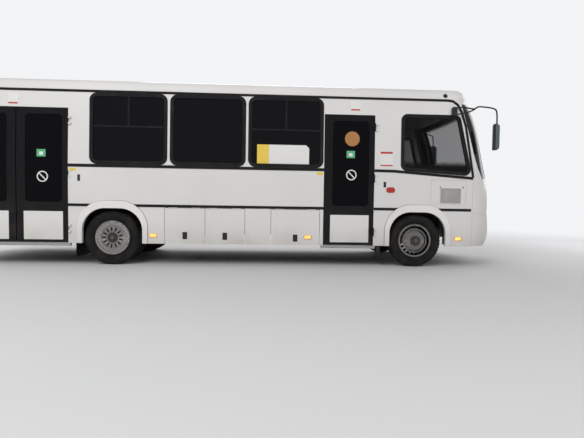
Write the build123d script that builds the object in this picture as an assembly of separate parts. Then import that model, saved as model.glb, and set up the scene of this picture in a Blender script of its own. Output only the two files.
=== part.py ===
from build123d import *
import math
import os

# Midibus, modelled in millimetres. Along the bus, every x below is measured from the rear axle,
# +X to the front, +Y to the left side, z = 0 on the road. The finished nodes are moved back by
# MIDDLE_X, so that the part's origin lies under the middle of its length.

# Overall sizes
LENGTH = 8800.0
ROOF_TOP = 2874.0             # crown of the roof, without its hatches
CROWN = 37.0                  # fall of the crown to the eaves
CANT = 180.0                  # radius between roof and sides
WHEELBASE = 4760.0
BOW_RADIUS = 10000.0          # plan curve of the front and of the rear face
WALL = 45.0                   # whole thickness of a side wall
ROOF = 40.0
END_SHELL = 30.0              # mouldings of the front and rear ends
SHEET = 12.0                  # step wells and wheel boxes
SKIRT_Z = 336.0
EAVES_Z = 2650.0
SWING_GAP = 6.0               # clear gap round everything that opens

# Side section: height, half width over the skin
SECTION = ((SKIRT_Z, 1207.0), (1550.0, 1222.5), (EAVES_Z, 1194.5))

# Front end sections: height, x where the corner curve starts, corner radius
BUMPER_SECTIONS = ((346.0, 5664.0, 300.0), (440.0, 5664.0, 380.0),
                   (640.0, 5664.0, 410.0), (857.0, 5664.0, 386.0))
MASK_SECTIONS = ((857.0, 5660.0, 378.0), (1120.0, 5660.0, 378.0), (1392.0, 5660.0, 330.0))
SCREEN_SECTIONS = ((1392.0, 5660.0, 330.0), (1800.0, 5612.0, 252.0),
                   (2250.0, 5526.0, 232.0), (EAVES_Z, 5345.0, 262.0))
# Rear end sections: height, where the corner starts behind its foremost line, radius
REAR_BUMPER_TABLE = ((360.0, 20.0, 230.0), (560.0, 20.0, 268.0), (760.0, 20.0, 262.0))
REAR_TABLE = ((760.0, 20.0, 250.0), (1700.0, 20.0, 250.0), (EAVES_Z, 0.0, 232.0))

# Line where the side wall meets the front moulding: x, z
FRONT_SEAM = ((5660.0, SKIRT_Z - 60.0), (5660.0, 1455.0), (5523.0, 2250.0),
              (5450.0, 2480.0), (5345.0, EAVES_Z))

# Wheels and axles
TYRE_RADIUS = 419.0
TYRE_WIDTH = 248.0
RIM_RADIUS = 265.0
FRONT_WHEEL_Y = 1046.0
REAR_OUTER_Y = 1052.0
REAR_TWIN_STEP = 286.0
DISC = 118.0                  # from the middle of a wheel to the face of its disc
KINGPIN_Y = 880.0
PIN = 30.0                    # radius of a kingpin

# Wheel arches: half width and top of the opening and of the trim, corner radii
ARCH_SHIFT = 20.0
ARCH_HALF = 454.0
ARCH_TOP = 876.0
ARCH_CORNER = 340.0
TRIM_HALF = 530.0
TRIM_TOP = 992.0
TRIM_CORNER = 420.0

# Right doorways: name, hinge jamb x, other jamb x
DOOR_TOP = 2390.0
SILL_Z = 290.0
FRONT_DOOR = (3270.0, 4070.0)
REAR_DOOR = (-2180.0, -640.0)
REAR_SPLIT = -1410.0
# Door leaves: hinge jamb x, +1 where the leaf lies behind it
DOOR_JAMBS = {"front_door": (4070.0, 1), "rear_door_front_leaf": (-640.0, 1),
              "rear_door_rear_leaf": (-2180.0, -1)}
LEAF = 38.0
# Pane and raised panel of a leaf: margins at the free and the hinged edge, heights
PANE_MARGINS = (135.0, 90.0)
PANE_Z = (960.0, 2290.0)
PANEL_MARGINS = (110.0, 78.0)
PANEL_Z = (386.0, 818.0)
HINGE_OUT = 1229.0            # hinge line, just outside the widest part of the skin
HINGE_RADIUS = 7.0
HINGE_HEIGHTS = (560.0, 1400.0, 2200.0)
LID_HINGE_Y = 1217.0
LID_HINGE_Z = 892.0

# Saloon windows: rear edge, front edge of the rubber, sliding vent or plain
WINDOW_Z = (1545.0, 2633.0)
WINDOW_CORNER = 115.0
RUBBER = 55.0
RIGHT_WINDOWS = ((-324.0, 848.0, True), (886.0, 2047.0, False), (2084.0, 3257.0, True))
LEFT_WINDOWS = ((-2180.0, -1030.0, False), (-992.0, 160.0, True), (198.0, 1350.0, False),
                (1388.0, 2540.0, True), (2578.0, 3730.0, False))
# Cab side window corners: x, z
CAB_WINDOW = ((4484.0, 1534.0), (5640.0, 1458.0), (5431.0, 2423.0), (4484.0, 2423.0))
CAB_CORNER = 100.0

# Vent flap ahead of the front right wheel and the grille in it: x, x, z, z
FLAP = (4980.0, 5550.0, 1000.0, 1395.0)
GRILLE = (5130.0, 5470.0, 1022.0, 1265.0)
GRILLE_DEPTH = 14.0
GRILLE_FRAME = 12.0
GRILLE_PITCH = 15.0
GROOVE = 5.0                  # width and depth of the seam grooves
# Louvre slots of the front mask: heights, half length, half height
LOUVRES = ((905.0, 947.0, 989.0, 1031.0), 560.0, 11.0)

# Locker lids: side, rear edge, front edge
LID_TOP = 890.0
LIDS = {"right_locker_lid_rear": (-1, 809.0, 1429.0),
        "right_locker_lid_middle": (-1, 1429.0, 2044.0),
        "right_locker_lid_front": (-1, 2449.0, 3214.0),
        "left_locker_lid": (1, 1430.0, 2440.0)}
LID = 22.0

# Floor
FLOOR_Z = 860.0
FLOOR = 40.0
TREADS = ((360.0, 230.0), (610.0, 210.0))    # height of the tread, going
WELL_Y = 1150.0               # outer edge of the treads, clear of the door leaves
# Wheel boxes: axle x, half length, inner edge y
WHEEL_BOXES = ((0.0, 510.0, 610.0), (WHEELBASE, 560.0, 620.0))
WHEEL_BOX_TOP = 940.0
WELL_END = 10.0               # gap between a doorway's jamb and the end of its steps

# Ladder frame
RAIL_Y = 430.0
RAIL_Z = (560.0, 760.0)
RAIL_WIDTH = 70.0
# Leaf springs: middle y, seats on the axles, half length and rise of the long leaf, eyes
SPRING_Y = 520.0
FRONT_SEAT_Z = 462.0
REAR_SEAT_Z = 486.0
SPRING_HALF = 640.0
SPRING_RISE = 78.0
EYE_X = 655.0
EYE_UP = 136.0
EYE = 26.0
# Towing plates under the ends of the rails: root x, tip x, x of the upright pin hole
TOW_PLATES = ((5780.0, 5962.0, 5915.0), (-2460.0, -2637.0, -2590.0))
TOW_HALF = 60.0               # half width of a plate
TOW_THICK = 30.0
TOW_HOLE = 22.0               # radius of the towing pin hole

COLUMN = 32.0                 # radius of the steering column

# Roof hatches: middle x
HATCHES = {"roof_hatch_front": 3650.0, "roof_hatch_rear": -250.0}
HATCH_LENGTH = 760.0
HATCH_WIDTH = 560.0
HATCH_OVER = 22.0             # how far a hatch reaches over the lip of its opening
HATCH_HINGE_BACK = 8.0        # hinge line behind the hatch
HATCH_HINGE_Z = ROOF_TOP + 12.5
HATCH_HINGE_RADIUS = 6.0


def half_width(z):
    """Half width of the body over the skin at a height."""
    (z0, w0), (z1, w1), (z2, w2) = SECTION
    if z < z1:
        return w0 + (w1 - w0) * (z - z0) / (z1 - z0)
    return w1 + (w2 - w1) * (z - z1) / (z2 - z1)


def end_reach(width, start, radius):
    """x of an end's middle, from where its corner curves start: three tangent arcs."""
    bow = BOW_RADIUS
    flat = math.sqrt(bow ** 2 - width ** 2 - 2 * radius * (bow - width))
    return start + bow - flat


NOSE_X = end_reach(half_width(BUMPER_SECTIONS[2][0]), *BUMPER_SECTIONS[2][1:])
TAIL_X = NOSE_X - LENGTH
MIDDLE_X = (NOSE_X + TAIL_X) / 2
REAR_CORNER = -TAIL_X - end_reach(half_width(REAR_BUMPER_TABLE[1][0]), *REAR_BUMPER_TABLE[1][1:])
REAR_SEAM_X = 5.0 - REAR_CORNER
REAR_BUMPER_SECTIONS = [(z, REAR_CORNER + dx, r) for z, dx, r in REAR_BUMPER_TABLE]
REAR_SECTIONS = [(z, REAR_CORNER + dx, r) for z, dx, r in REAR_TABLE]


def end_path(width, start, radius, inset):
    """Corner, bow and corner of an end in plan, moved in by inset; the middle is straight ahead."""
    w = width - inset
    r = radius - inset
    bow = BOW_RADIUS - inset
    turn = math.asin((width - radius) / (BOW_RADIUS - radius))
    cx = start
    cy = width - radius
    mid = end_reach(width, start, radius) - inset
    a = (math.pi / 2 + turn) / 2
    end = (cx + r * math.cos(turn), cy + r * math.sin(turn))
    half = (cx + r * math.cos(a), cy + r * math.sin(a))
    return [(start, w), half, end, (mid, 0.0), w, r, bow]


def end_arcs(z, width, start, radius, inset, facing):
    """The three arcs of an end at one height, from the right side to the left."""
    (_, w), half, end, mid, _, _, _ = end_path(width, start, radius, inset)

    def at(x, y):
        return (facing * x, y, z)

    return [ThreePointArc(at(start, -w), at(half[0], -half[1]), at(end[0], -end[1])),
            ThreePointArc(at(end[0], -end[1]), at(mid[0], 0.0), at(end[0], end[1])),
            ThreePointArc(at(end[0], end[1]), at(half[0], half[1]), at(start, w))]


def end_band(z, start, radius, leg, near, far, facing=1):
    """Plan face of an end shell at height z, from depth near to depth far under the skin."""
    width = half_width(z)
    outer = end_arcs(z, width, start, radius, near, facing)
    inner = end_arcs(z, width, start, radius, far, facing)
    wo = width - near
    wi = width - far
    sx = facing * start
    lx = facing * leg
    edges = [Line((lx, -wo, z), (sx, -wo, z)), *outer, Line((sx, wo, z), (lx, wo, z)),
             Line((lx, wo, z), (lx, wi, z)), Line((lx, wi, z), (sx, wi, z)), *inner,
             Line((sx, -wi, z), (lx, -wi, z)), Line((lx, -wi, z), (lx, -wo, z))]
    return make_face(Wire(edges))


def end_shell(sections, leg, near, far, facing=1):
    """Shell of an end lofted through its sections."""
    return loft([end_band(z, start, radius, leg, near, far, facing)
                 for z, start, radius in sections])


def box(x0, x1, y0, y1, z0, z1):
    """Box between two corners."""
    middle = Pos((x0 + x1) / 2, (y0 + y1) / 2, (z0 + z1) / 2)
    return middle * Box(abs(x1 - x0), abs(y1 - y0), abs(z1 - z0))


def side_prism(points, side, corner=0.0):
    """Outline in x and z, corners rounded, run through one side wall along Y."""
    outline = FilletPolyline(*points, radius=corner, close=True) if corner else \
        Polyline(*points, close=True)
    face = Plane.XZ * make_face(outline)
    return Pos(0, side * 1200.0, 0) * extrude(face, amount=260.0, both=True)


def rectangle(x0, x1, z0, z1):
    """Four corners of an upright rectangle in x and z."""
    return ((x0, z0), (x1, z0), (x1, z1), (x0, z1))


def side_band(side, near, far, x0, x1, rise=0.0):
    """Slab that follows the side section, from depth near to depth far under the skin."""
    rows = list(SECTION)
    if rise:
        rows = rows + [(EAVES_Z + rise, SECTION[-1][1])]
    outer = [(side * (w - near), z) for z, w in rows]
    inner = [(side * (w - far), z) for z, w in reversed(rows)]
    face = Plane.YZ * make_face(Polyline(*outer, *inner, close=True))
    return Pos(x0, 0, 0) * extrude(face, amount=x1 - x0)


def side_panel(side, near, far, points, corner=0.0, rise=0.0):
    """Part of the side slab inside an outline in x and z."""
    xs = [p[0] for p in points]
    slab = side_band(side, near, far, min(xs) - 5.0, max(xs) + 5.0, rise)
    return slab & side_prism(points, side, corner)


def arch_outline(axle_x, half, top, bottom):
    """Corners of a wheel arch: a rectangle whose upper corners are rounded later."""
    middle = axle_x + ARCH_SHIFT
    return rectangle(middle - half, middle + half, bottom, top)


def arch_prism(axle_x, side, half, top, corner, bottom):
    """Wheel arch opening run through one side: straight legs and two large corners."""
    (x0, z0), (x1, _), (_, z1), _ = arch_outline(axle_x, half, top, bottom)
    path = FilletPolyline((x0, z0), (x0, z1), (x1, z1), (x1, z0), radius=corner)
    face = Plane.XZ * make_face([*path.edges(), Line((x1, z0), (x0, z0))])
    return Pos(0, side * 1200.0, 0) * extrude(face, amount=260.0, both=True)


def shrink(points, inset):
    """Corners of a convex outline moved in by inset; points run one way round."""
    moved = []
    count = len(points)
    area = sum(points[i - 1][0] * points[i][1] - points[i][0] * points[i - 1][1]
               for i in range(count))
    turn = 1.0 if area > 0 else -1.0
    for i in range(count):
        before, here, after = points[i - 1], points[i], points[(i + 1) % count]
        u = Vector(here[0] - before[0], here[1] - before[1], 0).normalized()
        v = Vector(after[0] - here[0], after[1] - here[1], 0).normalized()
        n1 = Vector(-u.Y, u.X, 0) * turn
        n2 = Vector(-v.Y, v.X, 0) * turn
        both = n1 + n2
        step = both * (inset / (1.0 + n1.dot(n2)))
        moved.append((here[0] + step.X, here[1] + step.Y))
    return tuple(moved)


def window_list(side):
    """Saloon windows of a side: corners, sliding vent or plain."""
    rows = RIGHT_WINDOWS if side < 0 else LEFT_WINDOWS
    return [(rectangle(x0, x1, *WINDOW_Z), vent) for x0, x1, vent in rows]


def seam_prism(side):
    """Everything on one side that lies ahead of the seam of the front moulding."""
    points = list(FRONT_SEAM) + [(6400.0, EAVES_Z), (6400.0, SKIRT_Z - 60.0)]
    return side_prism(points, side)


def seam_groove(side):
    """Groove over the joint between a side wall and the front moulding, below the windows."""
    x, z = FRONT_SEAM[1]
    return side_panel(side, -1.0, GROOVE, rectangle(x - GROOVE / 2, x + GROOVE / 2,
                                                    SKIRT_Z - 60.0, z - 20.0))


def vent_grille():
    """Grille of the vent flap: a frame with level slats across it."""
    outline = rectangle(*GRILLE)
    inner = shrink(outline, GRILLE_FRAME)
    (x0, z0), _, (x1, z1), _ = inner
    grille = side_panel(-1, -3.0, GRILLE_DEPTH - 0.3, outline, 10.0) - side_prism(inner, -1, 4.0)
    count = int((z1 - z0) / GRILLE_PITCH)
    for i in range(count):
        z = z0 + (i + 0.5) * (z1 - z0) / count
        slat = rectangle(x0 - 4.0, x1 + 4.0, z - 3.0, z + 3.0)
        grille = grille + side_panel(-1, 1.0, 9.0, slat)
    return grille


def side_wall(side):
    """Side wall with its windows, doorways, arches and lockers cut."""
    wall = side_band(side, 0.0, WALL, REAR_SEAM_X, FRONT_SEAM[0][0])
    cuts = [seam_prism(side)]
    for points, _ in window_list(side):
        cuts.append(side_prism(points, side, WINDOW_CORNER))
    cuts.append(side_prism(CAB_WINDOW, side, CAB_CORNER))
    for axle_x in (0.0, WHEELBASE):
        cuts.append(arch_prism(axle_x, side, ARCH_HALF, ARCH_TOP, ARCH_CORNER, 200.0))
    if side < 0:
        for x0, x1 in (FRONT_DOOR, REAR_DOOR):
            cuts.append(side_prism(rectangle(x0, x1, 200.0, DOOR_TOP), side))
    for lid_side, x0, x1 in LIDS.values():
        if lid_side == side:
            cuts.append(side_prism(rectangle(x0 - 3.0, x1 + 3.0, 200.0, LID_TOP + 6.0), side))
    if side < 0:
        flap = rectangle(*FLAP)
        seam = side_panel(side, -1.0, GROOVE, flap, 14.0)
        cuts.append(seam - side_prism(shrink(flap, GROOVE), side, 9.0))
        cuts.append(side_panel(side, -1.0, GRILLE_DEPTH, rectangle(*GRILLE), 10.0))
    cuts.append(seam_groove(side))
    for cut in cuts:
        wall = wall - cut
    for lid_side, x0, x1 in LIDS.values():
        if lid_side == side:
            wall = wall + lid_hinges(side, x0, x1, False)
    if side < 0:
        for jamb, ahead in DOOR_JAMBS.values():
            wall = wall + door_hinges(jamb, ahead, False)
    return wall


def roof_outline(inset):
    """Plan of the roof: both ends with their corners, joined by straight eaves."""
    z = EAVES_Z
    width = half_width(z)
    _, fx, fr = SCREEN_SECTIONS[-1]
    _, rx, rr = REAR_SECTIONS[-1]
    w = width - inset
    front = end_arcs(z, width, fx, fr, inset, 1)
    rear = end_arcs(z, width, rx, rr, inset, -1)
    return make_face(Wire([*front, *rear, Line((-rx, -w, z), (fx, -w, z)),
                           Line((-rx, w, z), (fx, w, z))]))


def roof_block(inset, top, cant):
    """Crowned roof solid with its upper edge rounded all the way round."""
    block = extrude(roof_outline(inset), amount=400.0, dir=(0, 0, 1))
    edge = top - CROWN
    crown = make_face([*ThreePointArc((-1250.0, edge), (0.0, top), (1250.0, edge)).edges(),
                       *Polyline((1250.0, edge), (1250.0, 2500.0), (-1250.0, 2500.0),
                                 (-1250.0, edge)).edges()])
    block = block & Pos(-3200, 0, 0) * extrude(Plane.YZ * crown, amount=9600.0)
    upper = [e for e in block.edges() if e.center().Z > EAVES_Z + 30.0 and
             min(v.Z for v in e.vertices()) > EAVES_Z + 30.0]
    return fillet(upper, cant)


def hatch_frame(x):
    """Raised lip round a roof hatch: outer and inner box."""
    outer = box(x - HATCH_LENGTH / 2, x + HATCH_LENGTH / 2,
                -HATCH_WIDTH / 2, HATCH_WIDTH / 2, 2800.0, ROOF_TOP + 12.0)
    inner = box(x - HATCH_LENGTH / 2 + 30, x + HATCH_LENGTH / 2 - 30,
                -HATCH_WIDTH / 2 + 30, HATCH_WIDTH / 2 - 30, 2700.0, ROOF_TOP + 40.0)
    return outer, inner


def roof():
    """Roof skin with both hatch openings and their raised lips."""
    shell = roof_block(0.0, ROOF_TOP, CANT)
    hollow = roof_block(ROOF, ROOF_TOP - ROOF, CANT - ROOF)
    for x in HATCHES.values():
        shell = shell + hatch_frame(x)[0]
    shell = shell - hollow
    for x in HATCHES.values():
        shell = shell - hatch_frame(x)[1]
        for hinge in hatch_hinges(x, False):
            shell = shell + hinge
    return shell


def hatch_hinges(x, moving):
    """Hinge barrels behind a hatch, on the hatch or on posts of the roof."""
    line = x - HATCH_LENGTH / 2 - HATCH_OVER - HATCH_HINGE_BACK
    pieces = []
    for y in (-150.0, 150.0):
        for dy, long in ((0.0, 60.0),) if moving else ((-45.3, 30.0), (45.3, 30.0)):
            barrel = Pos(line, y + dy, HATCH_HINGE_Z) * Rot(90, 0, 0) * \
                Cylinder(HATCH_HINGE_RADIUS, long)
            if moving:
                strap = box(line, line + 2 * HATCH_HINGE_BACK, y - long / 2, y + long / 2,
                            HATCH_HINGE_Z, HATCH_HINGE_Z + HATCH_HINGE_RADIUS)
            else:
                strap = box(line - HATCH_HINGE_RADIUS, line + HATCH_HINGE_RADIUS,
                            y + dy - long / 2, y + dy + long / 2, ROOF_TOP - ROOF / 2,
                            HATCH_HINGE_Z)
            pieces.append(barrel + strap)
    return pieces


def roof_hatch(x):
    """Shallow dished lid that covers the lip of a hatch opening."""
    over = HATCH_OVER
    lid = box(x - HATCH_LENGTH / 2 - over, x + HATCH_LENGTH / 2 + over,
              -HATCH_WIDTH / 2 - over, HATCH_WIDTH / 2 + over, HATCH_HINGE_Z, ROOF_TOP + 38.0)
    lid = fillet(lid.edges().filter_by(Axis.Z), 60.0)
    lid = chamfer(lid.faces().sort_by(Axis.Z)[-1].edges(), 14.0)
    for hinge in hatch_hinges(x, True):
        lid = lid + hinge
    return lid


def screen_points(inset):
    """Windscreen opening seen from the front: y, z, moved in by inset."""
    return shrink(((-1075.0, 1425.0), (1075.0, 1425.0), (1030.0, 2600.0), (-1030.0, 2600.0)),
                  inset)


def front_prism(points, corner=0.0):
    """Outline in y and z, corners rounded, run forward through the front end."""
    outline = FilletPolyline(*points, radius=corner, close=True) if corner else \
        Polyline(*points, close=True)
    face = Plane.YZ * make_face(outline)
    return Pos(5300, 0, 0) * extrude(face, amount=1200.0)


def front_moulding():
    """Front mask with its windscreen pillars, ahead of the seam."""
    upper = end_shell(SCREEN_SECTIONS, 5000.0, 0.0, END_SHELL)
    lower = end_shell(MASK_SECTIONS, 5000.0, 0.0, END_SHELL)
    whole = upper + lower
    keep = seam_prism(-1) + box(5300, 6400, -980, 980, SKIRT_Z - 60, EAVES_Z) + seam_prism(1)
    whole = whole & keep
    whole = whole - front_prism(screen_points(0.0), 150.0)
    for lamp in (-1, 1):
        whole = whole - front_prism(lamp_points(lamp), 60.0)
        whole = whole - seam_groove(lamp)
    foot = MASK_SECTIONS[0][0]
    skin = end_shell(MASK_SECTIONS, 5000.0, -1.0, GROOVE)
    whole = whole - (skin & box(5000, 6400, -1300, 1300, foot, foot + GROOVE / 2))
    heights, half, rise = LOUVRES
    deep = end_shell(MASK_SECTIONS, 5000.0, -1.0, END_SHELL / 2)
    for z in heights:
        slot = ((-half, z - rise), (half, z - rise), (half, z + rise), (-half, z + rise))
        whole = whole - (deep & front_prism(slot, rise - 1.0))
    return whole


def lamp_points(side):
    """Headlamp opening seen from the front: y, z."""
    inner, outer = 700.0, 1010.0
    return tuple((side * y, z) for y, z in ((inner, 880.0), (outer, 880.0),
                                            (outer, 1060.0), (inner, 1060.0)))[::side]


def front_bumper():
    """Front bumper below the groove of the mask."""
    shell = end_shell(BUMPER_SECTIONS, 5660.0, 0.0, END_SHELL)
    grille = Pos(5300, 0, 0) * extrude(Plane.YZ * make_face(
        Polyline((-520, 500), (520, 500), (520, 640), (-520, 640), close=True)), amount=1200)
    top = BUMPER_SECTIONS[-1][0]
    skin = end_shell(BUMPER_SECTIONS, 5660.0, -1.0, GROOVE)
    return shell - grille - (skin & box(5000, 6400, -1300, 1300, top - GROOVE / 2, top))


def windscreen():
    """Windscreen glass, held in its rubber."""
    glass = end_shell(SCREEN_SECTIONS, 5000.0, 8.0, 15.0)
    return glass & front_prism(screen_points(30.0), 130.0)


def rear_window_points(inset):
    """Rear window seen from behind: y, z, moved in by inset."""
    return shrink(((-880.0, 1560.0), (880.0, 1560.0), (860.0, 2480.0), (-860.0, 2480.0)), inset)


def rear_prism(points, corner):
    """Outline in y and z, run back through the rear end."""
    face = Plane.YZ * make_face(FilletPolyline(*points, radius=corner, close=True))
    return Pos(-3100, 0, 0) * extrude(face, amount=700.0)


def rear_moulding():
    """Rear panel with its window opening."""
    shell = end_shell(REAR_SECTIONS, -REAR_SEAM_X, 0.0, END_SHELL, -1)
    return shell - rear_prism(rear_window_points(0.0), 110.0)


def rear_bumper():
    """Rear bumper, wrapped round both corners."""
    return end_shell(REAR_BUMPER_SECTIONS, -REAR_SEAM_X, 0.0, END_SHELL, -1)


def glazing():
    """Side panes, cab panes and the rear pane."""
    panes = []
    for side in (-1, 1):
        for points, _ in window_list(side):
            panes.append(side_panel(side, 10.0, 16.0, shrink(points, RUBBER), 60.0))
        panes.append(side_panel(side, 10.0, 16.0, shrink(CAB_WINDOW, RUBBER), 45.0))
    rear = end_shell(REAR_SECTIONS, -REAR_SEAM_X, 10.0, 16.0, -1)
    panes.append(rear & rear_prism(rear_window_points(45.0), 65.0))
    return panes


def window_rubbers():
    """Rubber surrounds of all windows, with the bars of the sliding vents."""
    rings = []
    for side in (-1, 1):
        for points, vent in window_list(side):
            ring = side_panel(side, -6.0, 32.0, points, WINDOW_CORNER)
            ring = ring - side_prism(shrink(points, RUBBER), side, 60.0)
            rings.append(ring)
            if vent:
                rings.append(vent_bars(side, points))
        ring = side_panel(side, -6.0, 32.0, CAB_WINDOW, CAB_CORNER)
        rings.append(ring - side_prism(shrink(CAB_WINDOW, RUBBER), side, 45.0))
    screen = end_shell(SCREEN_SECTIONS, 5000.0, -6.0, END_SHELL)
    rings.append((screen & front_prism(screen_points(0.0), 150.0)) -
                 front_prism(screen_points(30.0), 130.0))
    rear = end_shell(REAR_SECTIONS, -REAR_SEAM_X, -6.0, END_SHELL, -1)
    rings.append((rear & rear_prism(rear_window_points(0.0), 110.0)) -
                 rear_prism(rear_window_points(45.0), 65.0))
    return rings


def vent_bars(side, points):
    """Bar across a sliding window and the upright of its vents, in front of the pane."""
    inner = shrink(points, RUBBER)
    x0, x1 = inner[0][0], inner[1][0]
    z1 = inner[2][1]
    middle = (x0 + x1) / 2
    across = side_panel(side, 0.0, 10.0, rectangle(x0, x1, 2110.0, 2140.0))
    upright = side_panel(side, 0.0, 10.0, rectangle(middle - 15, middle + 15, 2140.0, z1))
    return across + upright


def ribbon(points, half):
    """Outline of a strip of even width along a line of points: x, z."""
    left, right = [], []
    for i, here in enumerate(points):
        before = points[max(i - 1, 0)]
        after = points[min(i + 1, len(points) - 1)]
        along = Vector(after[0] - before[0], after[1] - before[1], 0).normalized()
        left.append((here[0] - along.Y * half, here[1] + along.X * half))
        right.append((here[0] + along.Y * half, here[1] - along.X * half))
    return left + right[::-1]


def black_strips():
    """Eaves, pillar, belt and skirt strips of both sides."""
    strips = []
    pillar = ((REAR_SEAM_X, 2651.0), (5230.0, 2651.0), (5310.0, 2640.0), (5385.0, 2588.0),
              (5450.0, 2475.0), (5523.0, 2250.0), (5657.0, 1440.0))
    belt = ((4070.0, 1522.0), (4395.0, 1518.0), (5657.0, 1427.0))
    for side in (-1, 1):
        eaves = side_panel(side, -7.0, 0.0, ribbon(pillar, 18.0), 0.0, 60.0)
        if side < 0:
            runs = ((-640.0, 3270.0), (REAR_SEAM_X, REAR_DOOR[0]))
            skirt = ((REAR_SEAM_X, REAR_DOOR[0]), (-640.0, TRIM_HALF * -1 + ARCH_SHIFT),
                     (TRIM_HALF + ARCH_SHIFT, 3270.0),
                     (4070.0, WHEELBASE + ARCH_SHIFT - TRIM_HALF),
                     (WHEELBASE + ARCH_SHIFT + TRIM_HALF, 5640.0))
        else:
            runs = ((REAR_SEAM_X, 4070.0),)
            skirt = ((REAR_SEAM_X, TRIM_HALF * -1 + ARCH_SHIFT),
                     (TRIM_HALF + ARCH_SHIFT, WHEELBASE + ARCH_SHIFT - TRIM_HALF),
                     (WHEELBASE + ARCH_SHIFT + TRIM_HALF, 5640.0))
        front = side_panel(side, -7.0, 0.0, ribbon(belt, 21.0))
        strips.append((eaves - end_shell(SCREEN_SECTIONS, 5000.0, 0.0, END_SHELL)) + front)
        for x0, x1 in runs:
            strips.append(side_panel(side, -7.0, 0.0, rectangle(x0, x1, 1499.0, 1544.0)))
        for x0, x1 in skirt:
            strips.append(side_panel(side, -7.0, 0.0, rectangle(x0, x1, 899.3, 940.0)))
    return strips


def arch_trims():
    """Raised trims round the four wheel openings."""
    trims = []
    for side in (-1, 1):
        for axle_x in (0.0, WHEELBASE):
            outline = arch_outline(axle_x, TRIM_HALF, TRIM_TOP, SKIRT_Z)
            slab = side_band(side, -14.0, 0.0, outline[0][0] - 5, outline[1][0] + 5)
            trim = slab & arch_prism(axle_x, side, TRIM_HALF, TRIM_TOP, TRIM_CORNER, 200.0)
            trims.append(trim - arch_prism(axle_x, side, ARCH_HALF, ARCH_TOP, ARCH_CORNER, 200.0))
    return trims


def door_hinges(jamb, ahead, moving):
    """Hinges of a door leaf: barrels and straps on the leaf, or those on the wall.

    ahead is +1 where the leaf lies behind its jamb, so that the wall's straps point forward.
    """
    pieces = None
    for z in HINGE_HEIGHTS:
        skin = half_width(z)
        for dz, height in ((0.0, 60.0),) if moving else ((45.3, 30.0), (-45.3, 30.0)):
            toward = -ahead if moving else ahead
            barrel = Pos(jamb, -HINGE_OUT, z + dz) * Cylinder(HINGE_RADIUS, height)
            strap = box(jamb, jamb + toward * 42.0, -HINGE_OUT - 3.0, -skin + 4.0,
                        z + dz - height / 2, z + dz + height / 2)
            piece = barrel + strap
            pieces = piece if pieces is None else pieces + piece
    return pieces


def lid_hinges(side, x0, x1, moving):
    """Hinge barrels along the top of a locker lid, on the lid or on the wall."""
    pieces = None
    for x in (x0 + 130.0, x1 - 130.0):
        rows = ((0.0, 60.0, 4.5),) if moving else ((-45.3, 30.0, 7.0), (45.3, 30.0, 7.0))
        for dx, length, radius in rows:
            barrel = Pos(x + dx, side * LID_HINGE_Y, LID_HINGE_Z) * Rot(0, 90, 0) * \
                Cylinder(radius, length)
            pieces = barrel if pieces is None else pieces + barrel
    return pieces


def leaf_outline(x0, x1):
    """Outline of a door leaf between its swing gaps: x, z."""
    return rectangle(x0 + SWING_GAP, x1 - SWING_GAP, SKIRT_Z + SWING_GAP, DOOR_TOP - SWING_GAP)


def across_leaf(x0, x1, ahead, free, hinged):
    """Span of a leaf's pane or panel, from its margins at the free and at the hinged edge."""
    return (x0 + free, x1 - hinged) if ahead > 0 else (x0 + hinged, x1 - free)


def leaf_glass_outline(x0, x1, ahead):
    """Pane of a door leaf: x, z."""
    return rectangle(*across_leaf(x0, x1, ahead, *PANE_MARGINS), *PANE_Z)


def leaf_panel_outline(x0, x1, ahead):
    """Raised lower panel of a door leaf: x, z."""
    return rectangle(*across_leaf(x0, x1, ahead, *PANEL_MARGINS), *PANEL_Z)


def door_leaf(x0, x1, name):
    """Door leaf: frame with its window cut, a raised lower panel and its hinges."""
    ahead = DOOR_JAMBS[name][1]
    leaf = side_panel(-1, 2.0, 2.0 + LEAF, leaf_outline(x0, x1))
    leaf = leaf - side_prism(leaf_glass_outline(x0, x1, ahead), -1, 60.0)
    leaf = leaf + side_panel(-1, -2.0, 8.0, leaf_panel_outline(x0, x1, ahead), 8.0)
    return leaf + door_hinges(*DOOR_JAMBS[name], True)


def door_glass(x0, x1, name):
    """Pane of a door leaf."""
    return side_panel(-1, 10.0, 16.0, leaf_glass_outline(x0, x1, DOOR_JAMBS[name][1]), 60.0)


def locker_lid(side, x0, x1):
    """Locker lid hung from its top edge."""
    gap = SWING_GAP - 3.0
    outline = rectangle(x0 + gap, x1 - gap, SKIRT_Z, LID_TOP)
    lid = side_panel(side, 0.0, LID, outline)
    for x in (x0 + 130.0, x1 - 130.0):
        for dx in (-45.3, 45.3):
            notch = Pos(x + dx, side * LID_HINGE_Y, LID_HINGE_Z) * Rot(0, 90, 0)
            lid = lid - notch * Cylinder(HINGE_RADIUS + 1.0, 32.0)
    return lid + lid_hinges(side, x0, x1, True)


def plan_inner(z, inset):
    """Inner plan of the body at a height, both end corners rounded."""
    width = half_width(z)
    fx, fr = 5660.0, 380.0
    rx, rr = REAR_CORNER, 250.0
    w = width - inset
    front = end_arcs(z, width, fx, fr, inset, 1)
    rear = end_arcs(z, width, rx, rr, inset, -1)
    return make_face(Wire([*front, *rear, Line((-rx, -w, z), (fx, -w, z)),
                           Line((-rx, w, z), (fx, w, z))]))


def floor_edge():
    """Half width of the floor between the side walls."""
    return half_width(FLOOR_Z) - WALL - 1.0


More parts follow.
